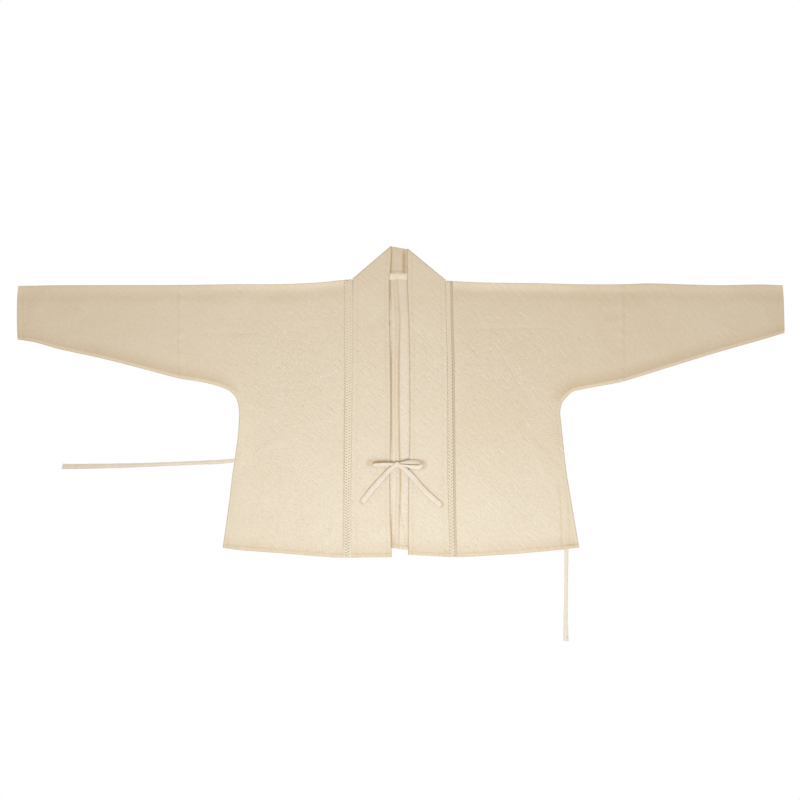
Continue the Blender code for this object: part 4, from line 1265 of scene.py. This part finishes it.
def braid(side, material):
    """The plaited trim along one collar seam, lying on the front cloth."""
    sign = SIGN[side]
    seam_x = float(line_at("seam_" + side, HEM_Y))
    bottom = hem_height(seam_x) + BRAID_END
    top = FOLD_PATHS[side].points[-1][1] - BRAID_END
    pitch = PLAIT_PITCH[side]
    ys = np.arange(bottom, top, pitch / PLAIT_STEPS)
    seam = line_at("seam_" + side, ys) - sign * BRAID_OVER
    outer = line_at("braid_" + side, ys)
    middle, half = (seam + outer) / 2, np.abs(outer - seam) / 2
    shift, width = PLAIT_SHIFT[side], STRAND_WIDTH[side]
    core = middle - sign * shift
    across = [np.column_stack([middle + half * share, ys]) for share in BRAID_RESTS]
    base = np.maximum.reduce([front_top(places) for places in across]) + BRAID_LIFT

    def told(table, points):
        return table_at(table[side], points[:, 1])

    parts, painted_light = [], []
    full = TAPE_THICK + STRAND_THICK + 2 * STRAND_LIFT
    cord = EDGE_CORD[side]
    swing = half - shift - cord * 2 - width / 2 + STRAND_OVER[side]
    for strand in range(STRANDS):
        phase = 2 * math.pi * (ys / pitch + strand / STRANDS)
        z = base + TAPE_THICK + STRAND_THICK / 2 + STRAND_LIFT * (1 + np.sin(2 * phase))
        line = np.column_stack([core + swing * np.sin(phase), ys, z])
        points, faces = swept(line, STRAND_FORM, np.full(len(ys), width), STRAND_THICK)
        parts.append((points, faces))
        # Painted shade between the strands and at the braid's edges, lessened by a painted highlight on their
        # crests
        low, centre, reach = [np.interp(points[:, 1], ys, values) for values in (base, middle, half)]
        height = points[:, 2] - low
        share = 1 - (1 - EDGE_SHARE[side]) * smooth(*EDGE_STARTS, np.abs(points[:, 0] - centre) / reach)
        shine = (1 + told(STRAND_SHINE, points)) * smooth(*CREST, height / full)
        painted_light.append(told(STRAND_TONE, points) * share * (1 - shine))
        points[:, 2] = low + height * told(PLAIT_RISE, points)
    for way, tone in zip((-sign, sign), CORD_TONE[side]):
        aside, up = np.outer(CORD_WAVER, np.sin(2 * math.pi * ys / EDGE_TWIST))
        line = np.column_stack([middle + way * (half - cord) + aside, ys, base + cord + up])
        parts.append(swept(line, circle(CORD_SIDES), np.full(len(ys), cord * 2), cord * 2))
        painted_light.append(np.full(len(parts[-1][0]), tone))
    line = np.column_stack([middle, ys, base + TAPE_THICK / 2])
    parts.append(swept(line, TAPE_FORM, half * 2 - TAPE_INSET, TAPE_THICK))
    painted_light.append(np.full(len(parts[-1][0]), TAPE_TONE[side]))
    points, faces = joined(parts)
    piece = add_mesh("braid_" + side, points, faces, [material], sharp=SHARP["braid"],
                     tone=np.concatenate(painted_light))
    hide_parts("trim_" + side)
    return piece


# Ties: a folded strip, stitched near both edges; sections of half width and half thickness
TIE_FORM = [(1.0, 0.0), (0.97, 0.6), (0.88, 0.95), (0.74, 1.0), (0.66, 0.5), (0.58, 0.92), (0.2, 1.0),
            (-0.2, 0.96), (-0.58, 0.92), (-0.66, 0.5), (-0.74, 1.0), (-0.88, 0.95), (-0.97, 0.6), (-1.0, 0.0),
            (-0.9, -0.9), (-0.4, -1.0), (0.4, -1.0), (0.9, -0.9)]
TIE_PLUMP = 1.5
TIE_STEP = 2.0
BOW_STEP = 1.4

# Where the band's height is looked at for what lies on it: shifts from a place
TIE_REACH = np.array([(0.0, 0.0), (4.0, 0.0), (-4.0, 0.0), (0.0, 4.0), (0.0, -4.0)])

# The painted shade along a tie's edges, and where it starts as a share of half the width; how unevenly wide
# the tie is
TIE_EDGE = 0.5
TIE_EDGE_FROM = 0.8
TIE_WAVER = 0.02
TIE_WAVE = (6.1, 1.3, 17.0)

# Far ends: a painted shade across the tie, as distance from the end, reach and strength, with where it
# comes in across the tie; how far the cut slants
FAR_SHADE = {"tie_inner_right": (8.0, 3.5, 0.5)}
FAR_ACROSS = (0.0, 0.5)
FAR_SLANT = {"tie_side_left": 1.2, "tie_inner_right": 0.6, "bow_tail_left": 1.5, "bow_tail_right": -2.0}

# Where a tie leans to one side: length along it, reach, degrees
LEANS = {
    "tie_side_left": [(64, 16, -4), (132, 18, 6), (200, 16, -4), (260, 11, 6), (318, 14, -6)],
    "tie_inner_right": [(232, 12, 5), (282, 14, -5), (330, 12, 6), (362, 6, -8)],
    "bow_tail_left": [(30, 14, -10), (66, 18, -6)],
    "bow_tail_right": [(24, 12, 8), (60, 16, 10), (96, 12, 6)],
}


def band_top(places):
    """The height of the collar band's upper side, and of what lies level with it between the two fronts."""
    x, y = np.asarray(places, float).T
    shares = []
    for side in SIDES:
        seam, edge = line_at("seam_" + side, y), line_at("edge_" + side, y)
        shares.append(np.clip((x - seam) / (edge - seam), 0, 1))
    on_left = x < (line_at("edge_left", y) + line_at("edge_right", y)) / 2
    places = np.column_stack([x, y])
    return solid_under(places) + BAND + band_relief(places, np.where(on_left, *shares))


def tie_rows(table, floor, step):
    """Evenly spaced rows of a tie: its middle line, widths and tilts."""
    rows = []
    for x, y, lift, width, tilt in table:
        slope = math.radians(tilt)
        rise = width / 2 * math.sin(slope) + TIE / 2 * math.cos(slope)
        rows.append((x, y, floor((x, y)) + lift + rise, width, tilt))
    path = Path(rows)
    return path.run(0.0, path.lengths[-1], step)


def tie_piece(name, table, floor, step, material, replaced=None):
    """A narrow sewn tie along its rows, gently uneven, with its far end cut on a slant."""
    rows = tie_rows(table, floor, step)
    middle, widths, tilts = rows[:, :3], rows[:, 3].copy(), np.radians(rows[:, 4])
    lengths = np.arange(len(rows)) * step
    across = np.array(TIE_FORM)[:, 0]
    for length, reach, degrees in LEANS.get(name, ()):
        lean = math.radians(degrees) * bump(lengths - length, reach)
        tilts = tilts + lean
        middle = middle + np.outer(np.abs(np.sin(lean)) * widths / 2, (0, 0, 1))
    widths *= 1 + TIE_WAVER * stray(lengths, *TIE_WAVE)
    middle = middle + np.array((0.0, 0.0, (TIE_PLUMP - TIE) / 2))
    points, faces = swept(middle, TIE_FORM, widths, TIE_PLUMP, tilts)
    along = middle[-1] - middle[-2]
    along /= np.linalg.norm(along)
    points[-len(across):] += np.outer(across * FAR_SLANT.get(name, 0.0), along)
    # Painted shade along the tie's edges and across its far end
    tone = np.tile(TIE_EDGE * smooth(TIE_EDGE_FROM, 1.0, np.abs(across)), (len(rows), 1))
    from_end, reach, strength = FAR_SHADE.get(name, (0.0, 1.0, 0.0))
    tone += strength * np.outer(bump(lengths[-1] - lengths - from_end, reach), smooth(*FAR_ACROSS, across))
    piece = add_mesh(name + "_cloth", points, faces, [material], sharp=SHARP["tie"], tone=tone.ravel())
    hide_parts(replaced or name)
    return piece, middle


def free_tie(name, table, floor, step, material):
    """A tie that hangs free, made by tie_piece."""
    piece, middle = tie_piece(name, table, floor, step, material)
    return piece


# Knot: the lump that the ties make, with one turn of tie around it; rows of along, share of half its size
KNOT_ROWS = [
    (-6.4, 0.3), (-6.1, 0.5), (-5.4, 0.66), (-4.6, 0.74), (-4.0, 0.76), (-3.6, 0.9), (-3.1, 1.0),
    (-1.6, 1.04), (0.2, 1.05), (1.8, 1.04), (3.0, 1.0), (3.5, 0.9), (3.9, 0.78), (4.6, 0.76),
    (5.4, 0.66), (6.1, 0.5), (6.4, 0.3),
]
KNOT_AROUND = 28

# The knot's slanting creases: depth, its share outside the turn, where the turn ends, how many there are and
# how far they turn along it; its size and slant
KNOT_CREASE = 0.07
KNOT_OUTSIDE = 0.6
KNOT_TURN = 3.3
KNOT_CREASES = 3
KNOT_TWIST = 0.5
KNOT_SIZE = 0.93
KNOT_SLANT = 0.5


def knot(material):
    """The bow's knot: a band wrapped round the gathered ties, creased across on a slant."""
    x0, y0, z0 = KNOT_MIDDLE
    rings = []
    for along, share in KNOT_ROWS:
        ring = []
        for turn in range(KNOT_AROUND):
            angle = 2 * math.pi * turn / KNOT_AROUND
            depth = KNOT_CREASE * (1.0 if abs(along) < KNOT_TURN else KNOT_OUTSIDE)
            size = share * (KNOT_SIZE + depth * math.sin(KNOT_CREASES * angle + along * KNOT_TWIST))
            across, up = KNOT_HALF[1] * size * math.cos(angle), KNOT_HALF[2] * size * math.sin(angle)
            ring.append((x0 + along + KNOT_SLANT * math.cos(angle), y0 + across, z0 + up))
        rings.append(np.array(ring))
    points, faces = tube(rings)
    piece = add_mesh("bow_knot_cloth", points, faces, [material], sharp=SHARP["knot"])
    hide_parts("bow_knot")
    return piece


# Stitches: sections as share of the length, share of the thickness, lift
STITCH_PITCH = 3.2
STITCH_LONG = 2.2
STITCH_ROUND = 0.22
STITCH_SINK = 0.06
THREAD_SIDES = 6
STITCH_FORM = [(0.0, 0.35, -0.2), (0.15, 0.9, 0.0), (0.5, 1.0, 0.1), (0.85, 0.9, 0.0), (1.0, 0.35, -0.2)]

# Lines of stitching: their step, where the hem's starts past the collar seam, where they end
LINE_STEP = 8.0
HEM_STARTS = 20
LINE_ENDS = 2
CUFF_END = 3.0


def stitches(name, lines, material):
    """Rows of small stitches along lines on the front cloth."""
    parts = []
    ring = circle(THREAD_SIDES)
    for line in lines:
        path = Path(line, fine=2)
        for start in np.arange(STITCH_PITCH, path.lengths[-1] - STITCH_PITCH, STITCH_PITCH):
            a, b = path.at(start)[:2], path.at(start + STITCH_LONG)[:2]
            along = (b - a) / np.linalg.norm(b - a)
            spread = np.outer(ring[:, 0], (-along[1], along[0], 0.0)) + np.outer(ring[:, 1], (0, 0, 1))
            first, last = front_top(np.array([a, b])) - STITCH_SINK + STITCH_ROUND / 2
            rings = []
            for share, size, lift in STITCH_FORM:
                middle = (*(a + (b - a) * share), first * (1 - share) + last * share + lift)
                rings.append(np.array(middle) + spread * STITCH_ROUND * size)
            parts.append(tube(rings))
    points, faces = joined(parts)
    piece = add_mesh(name, points, faces, [material], sharp=SHARP["tie"])
    return piece


def stitch_lines(side):
    """The lines of stitching on one side's front: hem, side and underarm seam; and on its sleeve end."""
    sign = SIGN[side]
    seam = SLEEVE_SEAM[side]
    under = UNDER_PATHS[side]
    down = under.run(under.where(0, seam - sign * LINE_ENDS), under.lengths[-1] - CORNER, LINE_STEP)[:, :2]
    side_seam = beside(down, [ALLOWANCE], -sign)[0]
    hem_xs = np.linspace(float(line_at("seam_" + side, HEM_Y)) + sign * HEM_STARTS, down[-1][0], SEAM_POINTS)
    hem = np.array([(x, hem_height(x) + HEM_WIDTH) for x in hem_xs])
    lower = under.run(0.0, under.where(0, seam + sign * LINE_ENDS), LINE_STEP)[:, :2]
    sleeve_seam = beside(lower, [ALLOWANCE], -sign)[0]
    cuff = CUFF_PATHS[side].run(CUFF_END, CUFF_PATHS[side].lengths[-1] - CUFF_END, LINE_STEP)[:, :2]
    tack = [np.array([(x, y) for x in TACK_X]) for y in TACK_Y] if side == "left" else []
    return [side_seam, hem, *tack], [sleeve_seam, cuff - np.array((sign * CUFF_WIDTH, 0.0))]


# Colours, linear
CREAM = (0.845, 0.775, 0.645, 1.0)
CREAM_DEEP = (0.83, 0.755, 0.615, 1.0)
# The brown that painted shade turns a colour towards, and how much paler a painted highlight makes it
PAINTED_SHADE_BROWN = (0.74, 0.62, 0.46, 1.0)
HIGHLIGHT_PALING = 0.07
WRONG_SIDE = (0.87, 0.805, 0.69, 1.0)
WRONG_SIDE_DEEP = (0.845, 0.77, 0.645, 1.0)
BRAID_CREAM = (0.835, 0.77, 0.635, 1.0)
# The braid's colour in its painted shade
BRAID_SHADED = (0.55, 0.46, 0.33, 1.0)
TIE_CREAM = (0.88, 0.83, 0.74, 1.0)
TIE_DEEP = (0.85, 0.79, 0.68, 1.0)

# The weave's slanting strokes: degrees, spacing, width, shift, how much of each line shows, weight
STROKES = [
    (-43.0, 12.0, 2.2, 13.0, 0.5, 1.0),
    (-58.0, 15.0, 2.2, 131.0, 0.5, 1.0),
    (52.0, 24.0, 2.0, 277.0, 0.2, 0.6),
]
STROKE_LENGTH = 26.0

# How a line strays: slow wander in shares of its spacing, quick ripple in millimetres, as scale and amount
WANDER = (105.0, 1.5)
RIPPLE = (22.0, 1.4)
RIPPLE_SHIFT = 40

# What of a line's noise shows as strokes: the level, what a full share takes off it, and the rise
GATE = 0.62
GATE_SHARE = 0.3
GATE_RISE = 0.1

# How far the strokes are sunk, and how much less towards the right, along x
SUNK = -0.46
SUNK_LESS = 0.24
SUNK_X = (-100, 500)

# Where the weave stands out more: it grows between these distances from the middle and these heights
BOLD_X = (240, 400)
BOLD_Y = (250, 70)
BOLD_TONE = 0.02

# Parts of the jacquard's relief and colour: amount, and its growth where the weave stands out more
STROKE_RELIEF = (1.0, 0.45)
GRAIN_RELIEF = (0.45, 1.9)
CREPE_RELIEF = (0.55, 0.2)
GRAIN_TONE = (0.11, 1.9)
STROKE_TONE = (0.038, 0.6)
BLOTCH_TONE = 0.06
WEAVE = (0.95, 0.04)

# Noise of the materials: scale in millimetres, detail, shift, roughness; the share of a shift that goes up
NOISE = {
    "grain": (2.8, 3.0, 7.0, 0.66), "crepe": (7.0, 2.0, 19.0, 0.5), "blotches": (9.0, 2.0, 23.0, 0.6),
    "patches": (75.0, 2.0, 301.0, 0.5), "plain grain": (1.6, 2.0, 5.0, 0.6),
    "plain patches": (11.0, 2.0, 57.0, 0.5), "braid grain": (1.2, 2.0, 3.0, 0.6),
}
SHIFT_UP = 0.7

# Where patches turn from light to deep; the brightness without grain, and what the grain adds to it
PATCHES = (0.3, 0.8)
PLAIN_PATCHES = (0.3, 0.72)
BASE_TONE = 0.96
PLAIN_TONE = 0.97
PLAIN_GRAIN = 0.06
BRAID_GRAIN = 0.08

# Relief of plain cotton's grain against its weave's, and of its patches; relief of the braid's grain
PLAIN_RELIEF = (3, 0.5)
BRAID_RELIEF = 0.25


class Surface:
    """A material whose looks are worked out from places on the piece, in millimetres."""

    def __init__(self, name, rough, sheen):
        self.material = bpy.data.materials.new(name)
        self.material.use_nodes = True
        self.tree = self.material.node_tree
        self.tree.nodes.clear()
        self.shader = self.node("ShaderNodeBsdfPrincipled", {
            "Roughness": rough, "Sheen Weight": sheen, "Sheen Roughness": 0.5, "Specular IOR Level": 0.25})
        output = self.node("ShaderNodeOutputMaterial")
        self.tree.links.new(self.shader.outputs[0], output.inputs[0])
        place = self.node("ShaderNodeTexCoord").outputs["Object"]
        scaled = self.node("ShaderNodeVectorMath", {0: place, 3: 1 / MM}, operation="SCALE")
        self.place = scaled.outputs[0]
        parts = self.node("ShaderNodeSeparateXYZ", {0: self.place})
        self.x, self.y, self.z = parts.outputs

    def node(self, kind, inputs=None, **settings):
        """A node with its settings; an input is a value or another node's output."""
        node = self.tree.nodes.new(kind)
        for key, value in settings.items():
            setattr(node, key, value)
        for key, value in (inputs or {}).items():
            if isinstance(value, bpy.types.NodeSocket):
                self.tree.links.new(value, node.inputs[key])
            else:
                node.inputs[key].default_value = value
        return node

    def maths(self, operation, *values, clamp=False):
        """The result of one sum on numbers or outputs."""
        node = self.node("ShaderNodeMath", dict(enumerate(values)), operation=operation)
        node.use_clamp = clamp
        return node.outputs[0]

    def less(self, first, second):
        """The first less the second."""
        return self.maths("SUBTRACT", first, second)

    def add(self, *values):
        """The sum of several numbers or outputs."""
        total = values[0]
        for value in values[1:]:
            total = self.maths("ADD", total, value)
        return total

    def times(self, *values):
        """The product of several numbers or outputs."""
        product = values[0]
        for value in values[1:]:
            product = self.maths("MULTIPLY", product, value)
        return product

    def noise(self, scale, detail, shift, rough=0.5):
        """Soft noise from 0 to 1 whose patches are about scale millimetres across."""
        offset = (shift, shift * SHIFT_UP, 0.0)
        moved = self.node("ShaderNodeVectorMath", {0: self.place, 1: offset}, operation="ADD")
        node = self.node("ShaderNodeTexNoise", {
            "Vector": moved.outputs[0], "Scale": 1 / scale, "Detail": detail, "Roughness": rough})
        return node.outputs[0]

    def step(self, value, low, high):
        """0 below low, 1 above high, smooth between."""
        node = self.node("ShaderNodeMapRange", {0: value, 1: low, 2: high}, interpolation_type="SMOOTHSTEP")
        return node.outputs[0]

    def strokes(self, degrees, spacing, width, shift, share):
        """Thin slanting lines at an angle to x, 1 on the line, broken into strokes of uneven length."""
        sine, cosine = math.sin(math.radians(degrees)), math.cos(math.radians(degrees))
        along = self.add(self.times(self.x, cosine), self.times(self.y, sine))
        across = self.add(self.times(self.x, -sine), self.times(self.y, cosine))
        wander = self.times(self.less(self.noise(WANDER[0], 1.0, shift), 0.5), spacing * WANDER[1])
        ripple = self.times(self.less(self.noise(RIPPLE[0], 1.0, shift + RIPPLE_SHIFT), 0.5), RIPPLE[1])
        phase = self.maths("DIVIDE", self.add(across, wander, ripple, shift), spacing)
        away = self.maths("ABSOLUTE", self.less(self.maths("FRACT", phase), 0.5))
        line = self.less(1.0, self.step(self.times(away, spacing), 0.0, width))
        spot = self.node("ShaderNodeCombineXYZ", {0: self.times(along, 1 / STROKE_LENGTH),
                                                  1: self.add(self.maths("FLOOR", phase), shift)})
        gate = self.node("ShaderNodeTexNoise", {"Vector": spot.outputs[0], "Scale": 1.0, "Detail": 1.0})
        level = GATE - share * GATE_SHARE
        return self.times(line, self.step(gate.outputs[0], level, level + GATE_RISE))

    def weave(self, pitch, depth):
        """The crossing threads of a plain weave."""
        threads = [self.maths("SINE", self.times(along, 2 * math.pi / pitch)) for along in (self.x, self.y)]
        return self.times(*threads, depth)

    def painted_light(self):
        """How strong the painted shade is where the piece's tone is above 0, and how much paler the painted
        highlight is below.
        """
        tone = self.node("ShaderNodeAttribute", attribute_name="tone").outputs["Fac"]
        paler = self.times(self.maths("MINIMUM", tone, 0.0), -HIGHLIGHT_PALING)
        return self.maths("MAXIMUM", tone, 0.0, clamp=True), paler

    def with_painted_light(self, colour):
        """A colour with painted shade, browner where the piece's tone is above 0, and with a painted
        highlight, paler below.
        """
        dark, paler = self.painted_light()
        painted_shade = self.node("ShaderNodeMix", {0: 1.0, 6: colour, 7: PAINTED_SHADE_BROWN}, data_type="RGBA",
                          blend_type="MULTIPLY")
        return self.shaded(self.blend(dark, colour, painted_shade.outputs[2]), self.add(1.0, paler))

    def finish(self, colour, height):
        """Sets the colour and the relief, in millimetres."""
        self.tree.links.new(colour, self.shader.inputs["Base Color"])
        bump_node = self.node("ShaderNodeBump", {"Strength": 1.0, "Distance": MM, "Height": height})
        self.tree.links.new(bump_node.outputs[0], self.shader.inputs["Normal"])
        return self.material

    def shaded(self, colour, factor):
        """A colour made darker or brighter by an output near 1."""
        node = self.node("ShaderNodeVectorMath", {0: colour, 3: factor}, operation="SCALE")
        return node.outputs[0]

    def blend(self, factor, first, second):
        """A mix of two colours."""
        node = self.node("ShaderNodeMix", {0: factor, 6: first, 7: second}, data_type="RGBA")
        return node.outputs[2]


def jacquard(name, light, deep, relief):
    """Cream cotton with thin slanting self-coloured lines sunk into it."""
    cloth = Surface(name, rough=0.86, sheen=0.12)
    near_middle = cloth.less(1.0, cloth.step(cloth.maths("ABSOLUTE", cloth.x), *BOLD_X))
    bold = cloth.times(cloth.step(cloth.y, *BOLD_Y), near_middle)

    def bolder(value, amount, growth):
        return cloth.times(value, cloth.add(amount, cloth.times(bold, amount * growth)))

    lines = cloth.add(*[cloth.times(cloth.strokes(*form), weight) for *form, weight in STROKES])
    sunk = cloth.times(lines, cloth.add(SUNK, cloth.times(cloth.step(cloth.x, *SUNK_X), SUNK_LESS)))
    grain = cloth.noise(*NOISE["grain"])
    crepe = cloth.noise(*NOISE["crepe"])
    form = cloth.add(bolder(sunk, *STROKE_RELIEF), bolder(grain, *GRAIN_RELIEF), bolder(crepe, *CREPE_RELIEF))
    height = cloth.add(cloth.times(form, relief), cloth.weave(*WEAVE))
    tone = cloth.blend(cloth.step(cloth.noise(*NOISE["patches"]), *PATCHES), light, deep)
    blotches = cloth.times(cloth.noise(*NOISE["blotches"]), BLOTCH_TONE)
    factor = cloth.add(BASE_TONE, bolder(cloth.less(grain, 0.5), *GRAIN_TONE), blotches,
                       bolder(lines, *STROKE_TONE), cloth.times(bold, BOLD_TONE))
    return cloth.finish(cloth.with_painted_light(cloth.shaded(tone, factor)), height)


def plain_weave(name, light, deep, pitch, relief, rough):
    """Sewn strips and thread of plain cotton."""
    cloth = Surface(name, rough, sheen=0.1)
    grain = cloth.noise(*NOISE["plain grain"])
    soft = cloth.noise(*NOISE["plain patches"])
    height = cloth.add(cloth.weave(pitch, relief), cloth.times(grain, relief * PLAIN_RELIEF[0]),
                       cloth.times(soft, PLAIN_RELIEF[1]))
    tone = cloth.blend(cloth.step(soft, *PLAIN_PATCHES), light, deep)
    factor = cloth.add(PLAIN_TONE, cloth.times(grain, PLAIN_GRAIN))
    return cloth.finish(cloth.with_painted_light(cloth.shaded(tone, factor)), height)


def braid_cotton(name, light, deep):
    """Braid: a painted highlight on top of its strands, painted shade towards the deep colour where the
    piece's tone is above 0.
    """
    cloth = Surface(name, rough=0.8, sheen=0.1)
    grain = cloth.noise(*NOISE["braid grain"])
    dark, paler = cloth.painted_light()
    factor = cloth.add(BASE_TONE, cloth.times(grain, BRAID_GRAIN), paler)
    colour = cloth.shaded(cloth.blend(dark, light, deep), factor)
    return cloth.finish(colour, cloth.times(grain, BRAID_RELIEF))


# The floor's size in metres, its height just under the cloth, and how brightly it glows
FLOOR_SIZE = 60.0
FLOOR_Z = -0.0003
FLOOR_GLOW = 1.0
FLOOR_INPUTS = {
    "Base Color": (0.0, 0.0, 0.0, 1.0), "Roughness": 1.0, "Specular IOR Level": 0.0,
    "Emission Color": (1.0, 1.0, 1.0, 1.0), "Emission Strength": FLOOR_GLOW,
}


def floor(material):
    """The pale surface that the jacket lies on."""
    bpy.ops.mesh.primitive_plane_add(size=FLOOR_SIZE, location=(0.0, 0.0, FLOOR_Z))
    plane = bpy.context.object
    plane.name = "floor"
    plane.data.materials.append(material)
    return plane


def floor_white():
    """A white that stays white in the render."""
    material = bpy.data.materials.new("floor_white")
    material.use_nodes = True
    shader = material.node_tree.nodes["Principled BSDF"]
    for name, value in FLOOR_INPUTS.items():
        shader.inputs[name].default_value = value
    return material


# Lights: name, place, aimed at, size, power, colour
LIGHTS = [
    ("key", (0.0, -0.60, 1.0), (0.0, 0.1, 0.0), (0.7, 0.4), 8.1, (0.83, 0.91, 1.0)),
]
AMBIENT = 0.58
AMBIENT_COLOUR = (1.0, 0.84, 0.65, 1.0)


def light_and_camera():
    """Low light from beyond the hem, a soft fill, and the photograph's camera straight above."""
    scene = bpy.context.scene
    for name, place, aim, size, power, colour in LIGHTS:
        lamp = bpy.data.lights.new(name, "AREA")
        lamp.shape = "RECTANGLE"
        lamp.size, lamp.size_y = size
        lamp.energy = power
        lamp.color = colour
        holder = bpy.data.objects.new(name, lamp)
        holder.location = place
        holder.rotation_euler = (Vector(aim) - Vector(place)).to_track_quat("-Z", "Y").to_euler()
        scene.collection.objects.link(holder)
    world = bpy.data.worlds.new("room")
    world.use_nodes = True
    world.node_tree.nodes["Background"].inputs[0].default_value = AMBIENT_COLOUR
    world.node_tree.nodes["Background"].inputs[1].default_value = AMBIENT
    scene.world = world

    camera = bpy.data.cameras.new("camera")
    camera.sensor_width = SENSOR
    camera.lens = SENSOR * CAMERA_HEIGHT / PHOTO_WIDTH
    holder = bpy.data.objects.new("camera", camera)
    holder.location = (*PHOTO_CENTRE, CAMERA_HEIGHT)
    scene.collection.objects.link(holder)
    scene.camera = holder
    scene.view_settings.view_transform = "Standard"


# How far the bow lies off the band
BOW_LIFT = 0.35


def make_jacket():
    """Every piece, from the free ties to the cloth under them."""
    cloth = [jacquard("jacquard_cream", CREAM, CREAM_DEEP, relief=1.0),
             jacquard("jacquard_wrong_side", WRONG_SIDE, WRONG_SIDE_DEEP, relief=0.7)]
    tie = plain_weave("tie_cotton", TIE_CREAM, TIE_DEEP, pitch=0.8, relief=0.05, rough=0.85)
    thread = plain_weave("thread", CREAM, CREAM_DEEP, pitch=0.5, relief=0.02, rough=0.7)
    braid_white = braid_cotton("braid_cotton", BRAID_CREAM, BRAID_SHADED)

    def on_floor(place):
        return 0.0

    def on_band(place):
        around = [np.array(place) + shift for shift in TIE_REACH]
        return float(band_top(around).max()) + BOW_LIFT

    bow_level = on_band(BOW_PLACE)
    free_tie("tie_side_left", TIE_SIDE_LEFT, on_floor, TIE_STEP, tie)
    free_tie("tie_inner_right", TIE_INNER_RIGHT, on_floor, TIE_STEP, tie)
    free_tie("bow_tail_left", TAIL_LEFT, on_band, BOW_STEP, tie)
    free_tie("bow_tail_right", TAIL_RIGHT, on_band, BOW_STEP, tie)

    lump = knot(tie)
    roots = [tie_piece("tie_root_" + side, table, lambda place: bow_level - ROOT_DROP, BOW_STEP, tie)[0]
             for side, table in (("left", ROOT_LEFT), ("right", ROOT_RIGHT))]
    loop_left, line_left = tie_piece("bow_loop_left", LOOP_LEFT, on_band, BOW_STEP, tie)
    loop_right, line_right = tie_piece("bow_loop_right", LOOP_RIGHT, lambda place: bow_level, BOW_STEP, tie)

    for side in SIDES:
        body, sleeve = body_half(side, cloth), sleeve_end(side, cloth)
        trim = braid(side, braid_white)
        on_body, on_sleeve = stitch_lines(side)
        sewn = stitches("stitches_body_" + side, on_body, thread)
        sewn_sleeve = stitches("stitches_sleeve_" + side, on_sleeve, thread)
    collar_band(cloth)


light_and_camera()
floor(floor_white())
make_jacket()
